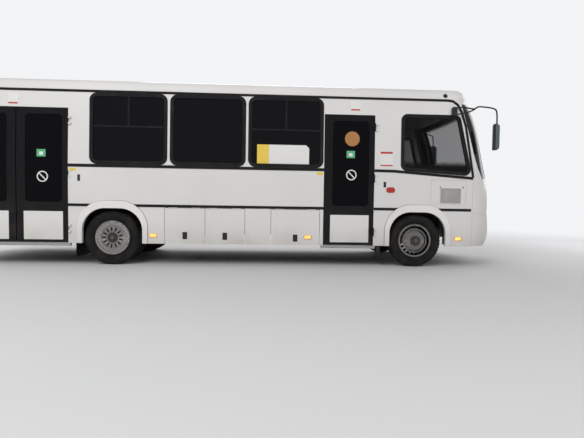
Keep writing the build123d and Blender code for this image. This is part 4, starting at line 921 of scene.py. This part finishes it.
def tilt(points, angle):
    """Points turned about the Y axis."""
    c, s = math.cos(angle), math.sin(angle)
    x, y, z = np.moveaxis(points, -1, 0)
    return np.stack([c * x + s * z, y, c * z - s * x], -1)


def vertices(mesh):
    """Places of a mesh's vertices, as an array."""
    flat = np.empty(len(mesh.vertices) * 3)
    mesh.vertices.foreach_get("co", flat)
    return flat.reshape(-1, 3)


def pad_shape(grid, voxel, cap):
    """The pad is remeshed evenly and filled by pressure, and no point moves by more than cap.
    """
    form = Form()
    form.rings(grid)
    points = form.points[0]
    scene = bpy.context.scene
    pad = add_object("pad_work", new_mesh("pad_work", points, form.faces))
    remesh = pad.modifiers.new("even", "REMESH")
    remesh.mode = "VOXEL"
    remesh.voxel_size = voxel
    bpy.context.view_layer.update()
    even = bpy.data.meshes.new_from_object(
        pad.evaluated_get(bpy.context.evaluated_depsgraph_get()))
    pad.modifiers.clear()
    pad.data = even
    start = vertices(even)
    cloth = pad.modifiers.new("cloth", "CLOTH").settings
    cloth.effector_weights.gravity = 0.0
    cloth.use_pressure = True
    cloth.uniform_pressure_force = PRESSURE
    cloth.quality = 4
    for number in range(1, FRAMES + 1):
        scene.frame_set(number)
    moved = pad.evaluated_get(bpy.context.evaluated_depsgraph_get()).to_mesh()
    faces = [tuple(face.vertices) for face in moved.polygons]
    step = vertices(moved) - start
    far = np.maximum(np.linalg.norm(step, axis=1, keepdims=True), 1e-9)
    scene.frame_set(1)
    bpy.data.objects.remove(pad)
    return start + step * np.minimum(1.0, cap / far), faces


def lay_pad(name, points, faces):
    """Makes one padded piece from its points and faces."""
    mesh = new_mesh(name, points + (REAR_AXLE.x, 0.0, 0.0), faces)
    mesh.shade_smooth()
    mesh.materials.append(finish("seat_cloth"))
    pad = add_object(name, mesh)
    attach(pad, "body")
    return pad


class MIDIBUS_OT_saloon_seats(bpy.types.Operator):
    """Build the padded cushions and backs of the saloon seats"""
    bl_idname = "midibus.saloon_seats"
    bl_label = "Saloon seats"

    def execute(self, context):
        cushion, cushion_faces = pad_shape(pad_grid(CUSHION), CUSHION_MESH, SALOON_PUFF)
        back, back_faces = pad_shape(tilt(pad_grid(BACK), UPRIGHT), BACK_MESH, SALOON_PUFF)
        back = tilt(back, BACK_LEAN)
        places = [(x, side * y) for side, rows in SEAT_ROWS for x in rows for y in SEAT_PAIRS]
        for i, (x, y) in enumerate(places + BENCH):
            seat = lay_pad(f"saloon_cushion_{i + 1:02d}",
                           cushion + (x + 0.245, y, SEAT_BASE + 0.052), cushion_faces)
            lay_pad(f"saloon_back_{i + 1:02d}", back + (x + 0.012, y, SEAT_BASE + 0.385),
                    back_faces)
            if i == 0:
                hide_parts("passenger_seats")
        return {"FINISHED"}


class MIDIBUS_OT_driver_seat(bpy.types.Operator):
    """Build the driver's cushion, back and bellows pedestal"""
    bl_idname = "midibus.driver_seat"
    bl_label = "Driver's seat"

    def execute(self, context):
        cushion, faces = pad_shape(pad_grid(DRIVER_CUSHION), CUSHION_MESH, DRIVER_PUFF)
        seat = lay_pad("driver_cushion", cushion + DRIVER + (0.240, 0.0, 0.060), faces)
        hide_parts("driver_seat")
        back, faces = pad_shape(tilt(pad_grid(DRIVER_BACK), UPRIGHT), BACK_MESH, DRIVER_PUFF)
        lay_pad("driver_back", tilt(back, BACK_LEAN) + DRIVER + (0.010, 0.0, 0.385), faces)
        pedestal = Form()
        place = flat_place(DRIVER + (0.240, 0.0, -PEDESTAL[2]), (1, 0, 0), (0, 1, 0), (0, 0, 1))
        folds = enumerate(np.linspace(0, PEDESTAL[2], BELLOWS))
        pedestal.plate(place, (0.0, 0.0), PEDESTAL[:2], 0.040,
                       [(BELLOWS_DEPTH * (i % 2), height) for i, height in folds])
        pedestal.build("driver_seat_pedestal", "body", "black_rubber", "black_plastic")
        return {"FINISHED"}


# Side fittings

# Lid latches: body, place, height, side
LATCHES = (("right_locker_lid_rear", 1.120, 0.466, RIGHT),
           ("right_locker_lid_middle", 1.736, 0.461, RIGHT),
           ("right_locker_lid_front", 2.833, 0.444, RIGHT),
           ("left_locker_lid", 1.700, 0.460, LEFT), ("left_locker_lid", 2.170, 0.460, LEFT))
# Entry button plates: place, height, width and height
BUTTON_PLATES = ((-0.480, 1.334, 0.038, 0.097), (4.237, 1.305, 0.038, 0.086))
ROOF_CAP = (5.186, -1.166, 2.720)
FLAP_SCREWS = ((5.129, 1.281), (5.504, 1.283))
# Side markers: body, side, place; their height
MARKERS = (("body", RIGHT, 0.637), ("right_locker_lid_front", RIGHT, 3.028),
           ("body", RIGHT, 5.441), ("body", LEFT, 0.637), ("body", LEFT, 3.028),
           ("body", LEFT, 5.441))
MARKER_HEIGHT = 0.461
# Arch trims: middle ahead of the axle, half width, top, corner radius, foot
ARCH_TRIM = (0.020, 0.530, 0.992, 0.420, 0.336)
SHADOW_BEAD = 0.0035                 # radius of the dark bead that paints the shadow line along an arch trim
SKIRT_STRIP = ((0.8993, 0.9400), 0.007)  # heights and thickness of the skirt strips
# Rubber flaps round the wheels: place, distances from the middle of the bus, heights
FLAPS = ((4.196, 0.915, 1.160, 0.095, 0.820), (5.330, 0.860, 1.160, 0.340, 0.820),
         (-0.540, 0.640, 1.160, 0.120, 0.760))
# Outside mirrors: housing, routes of the two arms, middle, size and turn of the head, and the
# clamp at its top
BASE_BLOCK = ((0.004, -0.001), (0.004, 0.008), (0.0, 0.012), (0.0, 0.040), (0.010, 0.048))
MIRROR_BASE = ((5.3255, 2.4735), (0.081, 0.143), 0.024, BASE_BLOCK)
ARM_RADIUS = 0.0115
MIRROR_ARMS = (((5.330, 1.232, 2.425), (5.480, 1.290, 2.440), (5.600, 1.325, 2.490),
                (5.640, 1.335, 2.534), (5.720, 1.345, 2.534), (5.926, 1.345, 2.512),
                (5.955, 1.345, 2.440), (5.955, 1.345, 2.230)),
               ((5.330, 1.232, 2.525), (5.440, 1.276, 2.538), (5.590, 1.322, 2.498),
                (5.620, 1.330, 2.512)))
MIRROR_HEAD = (5.950, 1.341, 2.0675)
MIRROR_SIZE = np.array((0.196, 0.395))
MIRROR_TURN = math.radians(22.0)
HEAD_CLAMP = ((0.0, 0.195), (0.050, 0.030), 0.008, ((0.0, -0.016), (0.0, 0.016)))
# Profiles of inset and distance out
LATCH_RIM = ((0.0, -0.002), (0.0, 0.003), (0.0022, 0.0048), (0.009, 0.0048), (0.011, 0.0012))
MARKER_LENS = ((0.0, 0.007), (0.0, 0.012), (0.004, 0.0165), (0.012, 0.0185))
HEAD_SHELL = ((0.010, -0.042), (0.003, -0.044), (0.0, -0.038), (0.0, 0.004), (0.005, 0.024),
              (0.016, 0.038), (0.034, 0.045), (0.060, 0.047))
# Black rim round the rear edge of a mirror head: painted shade of that edge
HEAD_SHADE_RIM = ((0.014, -0.0445), (0.004, -0.0455), (0.0, -0.038), (0.0, -0.014), (0.003, -0.012))
HEAD_GLASS = ((0.0, -0.030), (0.0, -0.0425), (0.002, -0.0435))


class MIDIBUS_OT_latches(bpy.types.Operator):
    """Build the recessed latches of the locker lids"""
    bl_idname = "midibus.latches"
    bl_label = "Lid latches"

    def execute(self, context):
        width, height = sizes().latch
        forms = {}
        for body, x, z, side in LATCHES:
            form = forms.setdefault(body, Form())
            place = side_place(side)
            form.plate(place, (x, z), (width, height), 0.010, LATCH_RIM)
            form.plate(place, (x, z + 0.012), (width * 0.52, height * 0.50), 0.008,
                       button(0.0005, 0.0038, 0.002, 0.0055))
            form.stud(place, (x, z - height * 0.30), 0.016,
                      button(0.0005, 0.0045, 0.0015, 0.0058))
        for body, form in forms.items():
            form.build("latches_" + body, body, "black_plastic")
        return {"FINISHED"}


class MIDIBUS_OT_side_details(bpy.types.Operator):
    """Build the button plates, the roof cap and the flap's screws"""
    bl_idname = "midibus.side_details"
    bl_label = "Side details"

    def execute(self, context):
        place = side_place(RIGHT)
        form = Form()
        for x, z, *size in BUTTON_PLATES:
            form.plate(place, (x, z), size, 0.007, button(-0.002, 0.004, 0.002, 0.006))
            form.stud(place, (x, z + 0.018), 0.020, button(0.005, 0.0085, 0.0015, 0.0098))
            form.stud(place, (x, z - 0.020), 0.016, button(0.005, 0.0075, 0.0015, 0.0085))
        form.turned(((0.037, 0.0), (0.037, 0.022), (0.028, 0.029)), ROOF_CAP, RIGHT, 32)
        for screw in FLAP_SCREWS:
            form.stud(place, screw, 0.020, button(-0.001, 0.003, 0.003, 0.005))
        form.build("button_plates", "body", "black_plastic")
        return {"FINISHED"}


class MIDIBUS_OT_markers(bpy.types.Operator):
    """Build the lit lenses of the side markers"""
    bl_idname = "midibus.markers"
    bl_label = "Side markers"

    def execute(self, context):
        width, height = sizes().marker
        forms = {}
        for body, side, x in MARKERS:
            forms.setdefault(body, Form()).plate(
                side_place(side), (x, MARKER_HEIGHT), (width - 0.012, height), 0.014, MARKER_LENS)
        for body, form in forms.items():
            form.build("marker_lenses_" + body, body, "amber_lens")
        return {"FINISHED"}


def arch_path(axle_x, side):
    """Outer outline of an arch trim: leg, quarter circle, crown, quarter circle, leg."""
    shift, half, top, radius, foot = ARCH_TRIM
    turn = np.linspace(math.pi, math.pi / 2, 24)
    x = np.concatenate([[-half], radius * np.cos(turn) - half + radius])
    z = np.concatenate([[foot], radius * np.sin(turn) + top - radius])
    x, z = np.concatenate([x, -x[::-1]]), np.concatenate([z, z[::-1]])
    return np.stack([axle_x + shift + x, side * (half_width(z) + 0.0015), z], -1)


def strip_end(axle_x, end):
    """Outline of a skirt strip's slanted end: from the trim's circle out to its side."""
    shift, half, top, radius, _ = ARCH_TRIM
    heights = np.array(SKIRT_STRIP[0])
    reach = half - radius + np.sqrt(radius ** 2 - (heights - top + radius) ** 2)
    x = np.array((reach[0], half, half, reach[1]))
    return np.stack([axle_x + shift + end * x, heights[[0, 0, 1, 1]]], -1)


class MIDIBUS_OT_arch_shadow_beads(bpy.types.Operator):
    """Build the dark beads that paint the shadow line along the wheel arch trims, and the slanted
    ends of the strips
    """
    bl_idname = "midibus.arch_beads"
    bl_label = "Arch beads"

    def execute(self, context):
        form = Form()
        for side in (RIGHT, LEFT):
            for axle_x in (0.0, WHEELBASE):
                # Painted shadow: a dark bead along the trim's outer edge
                form.tube(arch_path(axle_x, side), SHADOW_BEAD, 8)
                for end in (-1, 1):
                    form.slab(side_place(side), strip_end(axle_x, end), -0.001, SKIRT_STRIP[1])
        form.build("arch_beads", "body", "black_rubber")
        return {"FINISHED"}


class MIDIBUS_OT_wheel_flaps(bpy.types.Operator):
    """Build the ribbed rubber flaps round the wheels"""
    bl_idname = "midibus.wheel_flaps"
    bl_label = "Wheel flaps"

    def execute(self, context):
        form = Form()
        for side in (RIGHT, LEFT):
            for x, y0, y1, z0, z1 in FLAPS:
                place = flat_place((x, side * (y0 + y1) / 2, (z0 + z1) / 2), (0, 1, 0),
                                   (0, 0, 1), (-1, 0, 0))
                form.plate(place, (0, 0), (y1 - y0, z1 - z0), 0.012,
                           button(-0.005, 0.004, 0.001, 0.005))
                for rib in np.linspace(-0.4, 0.4, 5) * (z1 - z0):
                    form.plate(place, (0, rib), ((y1 - y0) * 0.88, 0.012), 0.005,
                               ((0.0, 0.004), (0.002, 0.008)))
        form.build("wheel_flaps", "body", "black_rubber", node="mudflaps")
        return {"FINISHED"}


def eased(route, rounds=3):
    """Route with its corners cut: each run keeps its middle half, the ends stay."""
    path = np.array(route)
    for _ in range(rounds):
        near, far = path[:-1] * 0.75 + path[1:] * 0.25, path[:-1] * 0.25 + path[1:] * 0.75
        inner = np.stack([near, far], 1).reshape(-1, 3)
        path = np.concatenate([path[:1], inner[1:-1], path[-1:]])
    return path


class MIDIBUS_OT_outside_mirrors(bpy.types.Operator):
    """Build the outside mirrors with their arms and faces"""
    bl_idname = "midibus.outside_mirrors"
    bl_label = "Outside mirrors"

    def execute(self, context):
        arms, heads, faces = Form(), Form(), Form()
        c, s = math.cos(MIRROR_TURN), math.sin(MIRROR_TURN)
        for side in (RIGHT, LEFT):
            arms.plate(side_place(side), *MIRROR_BASE)
            for route in MIRROR_ARMS:
                arms.tube(eased(route) * (1, side, 1), ARM_RADIUS, 14)
            x, y, z = MIRROR_HEAD
            place = flat_place((x, side * y, z), (-side * s, c, 0), (0, 0, 1), (c, side * s, 0))
            heads.plate(place, (0, 0), MIRROR_SIZE, 0.045, HEAD_SHELL, 8)
            # black rim round the head's rear edge: painted shade of that edge
            arms.plate(place, (0, 0), MIRROR_SIZE + 0.003, 0.0465, HEAD_SHADE_RIM, 8)
            arms.plate(place, *HEAD_CLAMP)
            faces.plate(place, (0, 0), MIRROR_SIZE - 0.026, 0.034, HEAD_GLASS, 8)
        arms.build("mirror_arms", "body", "black_plastic", node="mirrors")
        heads.build("mirror_heads", "body", "mirror_shell", "black_plastic")
        faces.build("mirror_faces", "body", "mirror_face", "screen_glass")
        return {"FINISHED"}


# Stickers

UNDER, FILM = -0.0002, 0.0006            # back and face of a sticker
RING_RADIUS, RING_BAR = 0.083, 0.017     # prohibition ring, width of the ring and its bar


def laid(form, place, x, z, width, height, radius):
    """Plain sticker; a round one has more points."""
    steps = 14 if radius * 2 >= width else 6
    form.plate(place, (x, z), (width, height), radius, ((0.0, UNDER), (0.0, FILM)), steps)


def overlaid(form, place, x, z, width, height, radius):
    """Sticker on another one."""
    form.plate(place, (x, z), (width, height), radius, ((0.0, FILM * 0.5), (0.0, FILM * 2)))


def ring_and_bar(form, place, *centre):
    """Prohibition ring, four circles joined in turn, with its slanting bar."""
    turn = circle(40)
    inner = RING_RADIUS - RING_BAR
    form.rings([place(centre[0] + r * np.cos(turn), centre[1] + r * np.sin(turn), out)
                for r, out in ((RING_RADIUS, UNDER), (RING_RADIUS, FILM), (inner, FILM),
                               (inner, UNDER))], wrap=True)
    slant = np.array((1.0, -1.0)) / math.sqrt(2)
    reach = slant * (RING_RADIUS - RING_BAR * 0.8)
    thick = np.array((-slant[1], slant[0])) * RING_BAR / 2
    bar = np.array((reach + thick, thick - reach, -reach - thick, reach - thick))
    form.slab(place, bar + centre, UNDER, FILM * 0.9)


def board(form, place, *corners):
    """Flat board of any outline."""
    form.slab(place, corners, UNDER, FILM)


# Stickers: piece, body, finish, depth under the skin, their maker, and for each its place and
# height, width and height, and corner radius, or its corners
STICKERS = (
    ("orange_disc", "front_door", "orange_film", GLASS_DEPTH, laid,
     (3.711, 2.014, 0.232, 0.232, 0.116)),
    ("green_square_front", "front_door", "green_film", GLASS_DEPTH, laid,
     (3.689, 1.770, 0.132, 0.112, 0.006)),
    ("green_square_mark_front", "front_door", "white_film", GLASS_DEPTH, overlaid,
     (3.689, 1.764, 0.060, 0.050, 0.004)),
    ("green_square_rear", "rear_door_front_leaf", "green_film", GLASS_DEPTH, laid,
     (-1.041, 1.700, 0.132, 0.112, 0.006)),
    ("green_square_mark_rear", "rear_door_front_leaf", "white_film", GLASS_DEPTH, overlaid,
     (-1.041, 1.694, 0.060, 0.050, 0.004)),
    ("ring_sign_front", "front_door", "white_film", GLASS_DEPTH, ring_and_bar, (3.704, 1.448)),
    ("ring_sign_rear", "rear_door_front_leaf", "white_film", GLASS_DEPTH, ring_and_bar,
     (-1.023, 1.345)),
    ("route_board_end", "body", "yellow_film", GLASS_DEPTH, laid,
     (2.3145, 1.742, 0.185, 0.310, 0.004)),
    ("route_board", "body", "white_film", GLASS_DEPTH, board,
     ((2.407, 1.587), (3.033, 1.587), (3.033, 1.850), (2.985, 1.897), (2.407, 1.897))),
    ("notices", "body", "white_film", 0.0, laid, (4.2575, 1.708, 0.203, 0.244, 0.006),
     (3.755, 2.535, 0.150, 0.160, 0.006), (-1.454, 2.510, 0.146, 0.160, 0.006)),
    ("notice_bands", "body", "red_film", 0.0, overlaid, (4.2575, 1.806, 0.195, 0.032, 0.003),
     (4.2575, 1.606, 0.195, 0.020, 0.003), (3.755, 2.468, 0.142, 0.022, 0.003),
     (-1.454, 2.443, 0.138, 0.022, 0.003)),
    ("yellow_tags", "body", "yellow_film", 0.0, laid, (3.205, 1.459, 0.100, 0.044, 0.004),
     (-0.578, 1.459, 0.110, 0.044, 0.004)),
)


class MIDIBUS_OT_stickers(bpy.types.Operator):
    """Lay the plain stickers on the doors, walls and windows"""
    bl_idname = "midibus.stickers"
    bl_label = "Stickers"

    def execute(self, context):
        for name, body, film, depth, maker, *shapes in STICKERS:
            form = Form()
            for shape in shapes:
                maker(form, side_place(RIGHT, depth), *shape)
            form.build(name, body, film, "body_white" if body == "body" else "door_black")
        return {"FINISHED"}


# Studio

# Camera fitted to the photograph: place, turns in degrees, focal length as a share of the
# frame's width
CAMERA_PLACE = (2.424, -8.091, 0.982)
CAMERA_TURNS = (2.96, -1.98, 0.83)
CAMERA_FOCAL = 440.0 / 584.0
SENSOR = 36.0
# Soft lamps: place and aim in the frame, width, power in watts, seen in gloss
LAMPS = (((-4.0, -9.5, 7.5), (0.0, -1.0, 1.0), 7.0, 700.0, False),
         ((6.5, -7.5, 5.5), (1.5, 0.0, 1.2), 5.0, 150.0, False),
         ((0.0, 8.5, 6.0), (0.0, 0.5, 1.2), 8.0, 520.0, True),
         ((9.5, 2.0, 4.0), (2.0, 0.0, 1.2), 5.0, 110.0, True),
         ((-10.0, 1.0, 4.0), (-3.0, 0.0, 1.2), 5.0, 240.0, True))
WORLD_LIGHT, BACKDROP = 0.42, 0.92
FLOOR_REACH = (6.5, 17.0)     # the floor fades into the backdrop between these distances


def camera_frame():
    """Camera's turn: forward from yaw and pitch, then rolled about it."""
    yaw, pitch, roll = (math.radians(a) for a in CAMERA_TURNS)
    ahead = Vector((math.sin(yaw) * math.cos(pitch), math.cos(yaw) * math.cos(pitch),
                    math.sin(pitch)))
    right = Vector((math.cos(yaw), -math.sin(yaw), 0.0))
    up = right.cross(ahead)
    turned_right = right * math.cos(roll) + up * math.sin(roll)
    turned_up = up * math.cos(roll) - right * math.sin(roll)
    return Matrix((turned_right, turned_up, -ahead)).transposed().to_4x4()


def backdrop_world():
    """World: soft grey light, nearly white where the camera looks at it, straight or by glass."""
    world = bpy.data.worlds.new("studio")
    world.use_nodes = True
    nodes = Nodes(world.node_tree)
    seen = nodes.add("ShaderNodeLightPath", output="Is Camera Ray").most(
        nodes.add("ShaderNodeLightPath", output="Is Transmission Ray"))
    nodes.connect(nodes.tree.nodes["Background"], {
        "Color": (0.97, 0.98, 1.0, 1.0),
        "Strength": WORLD_LIGHT + seen * (BACKDROP - WORLD_LIGHT)})
    return world


def studio_floor():
    """Pale round floor that fades out into the backdrop with its distance from the bus."""
    paint = tuple(colours().floor)
    floor = Finish("studio_floor", paint, 0.9, emission_strength=1.0)
    near, far = FLOOR_REACH
    distance = length(floor.x, floor.y)
    floor.feed(alpha=distance.ramp(far, near),
               emission_color=floor.mix(distance.ramp(5.0, far), (0.0, 0.0, 0.0),
                                        (0.60, 0.60, 0.62)),
               base_color=floor.mix(floor.noise(0.6, 3.0), paint, scaled(paint, 0.98)))
    angle = circle(96)
    rim = np.stack([far * np.cos(angle), far * np.sin(angle), 0.0 * angle], -1)
    mesh = new_mesh("studio_floor", rim, [range(len(rim))])
    mesh.materials.append(floor.material)
    add_object("studio_floor", mesh)


class MIDIBUS_OT_stage(bpy.types.Operator):
    """Set up the floor, soft light and camera"""
    bl_idname = "midibus.stage"
    bl_label = "Studio"

    def execute(self, context):
        scene = context.scene
        scene.view_settings.view_transform = "Standard"
        scene.world = backdrop_world()
        studio_floor()
        for i, (place, aim, width, power, gloss) in enumerate(LAMPS):
            light = bpy.data.lights.new(f"soft_lamp_{i + 1}", "AREA")
            light.size = width
            light.energy = power
            lamp = add_object(light.name, light)
            lamp.location = place
            lamp.visible_glossy = gloss
            aim = Vector(aim) - Vector(place)
            lamp.rotation_euler = aim.to_track_quat("-Z", "Y").to_euler()
        view = bpy.data.cameras.new("camera")
        view.sensor_width = SENSOR
        view.lens = SENSOR * CAMERA_FOCAL
        scene.camera = add_object("camera", view)
        place = Vector((along(CAMERA_PLACE[0]), *CAMERA_PLACE[1:]))
        scene.camera.matrix_world = Matrix.Translation(place) @ camera_frame()
        return {"FINISHED"}


OPERATORS = (MIDIBUS_OT_stage, MIDIBUS_OT_finishes, MIDIBUS_OT_tyres, MIDIBUS_OT_hub_nuts,
             MIDIBUS_OT_rear_covers, MIDIBUS_OT_saloon_seats, MIDIBUS_OT_driver_seat,
             MIDIBUS_OT_latches, MIDIBUS_OT_side_details, MIDIBUS_OT_arch_shadow_beads,
             MIDIBUS_OT_wheel_flaps, MIDIBUS_OT_outside_mirrors, MIDIBUS_OT_markers,
             MIDIBUS_OT_stickers)


class MIDIBUS_PT_panel(bpy.types.Panel):
    """Buttons and settings of the midibus"""
    bl_idname = "MIDIBUS_PT_panel"
    bl_label = "Midibus"
    bl_space_type = "VIEW_3D"
    bl_region_type = "UI"
    bl_category = "Midibus"

    def draw(self, context):
        for group in (context.scene.midibus_colours, context.scene.midibus_sizes):
            for name in group.__annotations__:
                self.layout.prop(group, name)
        for operator in OPERATORS:
            self.layout.operator(operator.bl_idname)


CLASSES = (MidibusColours, MidibusSizes, *OPERATORS, MIDIBUS_PT_panel)


def register():
    for cls in CLASSES:
        bpy.utils.register_class(cls)
    bpy.types.Scene.midibus_colours = PointerProperty(type=MidibusColours)
    bpy.types.Scene.midibus_sizes = PointerProperty(type=MidibusSizes)


def unregister():
    del bpy.types.Scene.midibus_sizes
    del bpy.types.Scene.midibus_colours
    for cls in reversed(CLASSES):
        bpy.utils.unregister_class(cls)


def main():
    """Registers the classes and builds everything in order."""
    register()
    for operator in OPERATORS:
        group, name = operator.bl_idname.split(".")
        getattr(getattr(bpy.ops, group), name)()


if __name__ == "__main__":
    main()
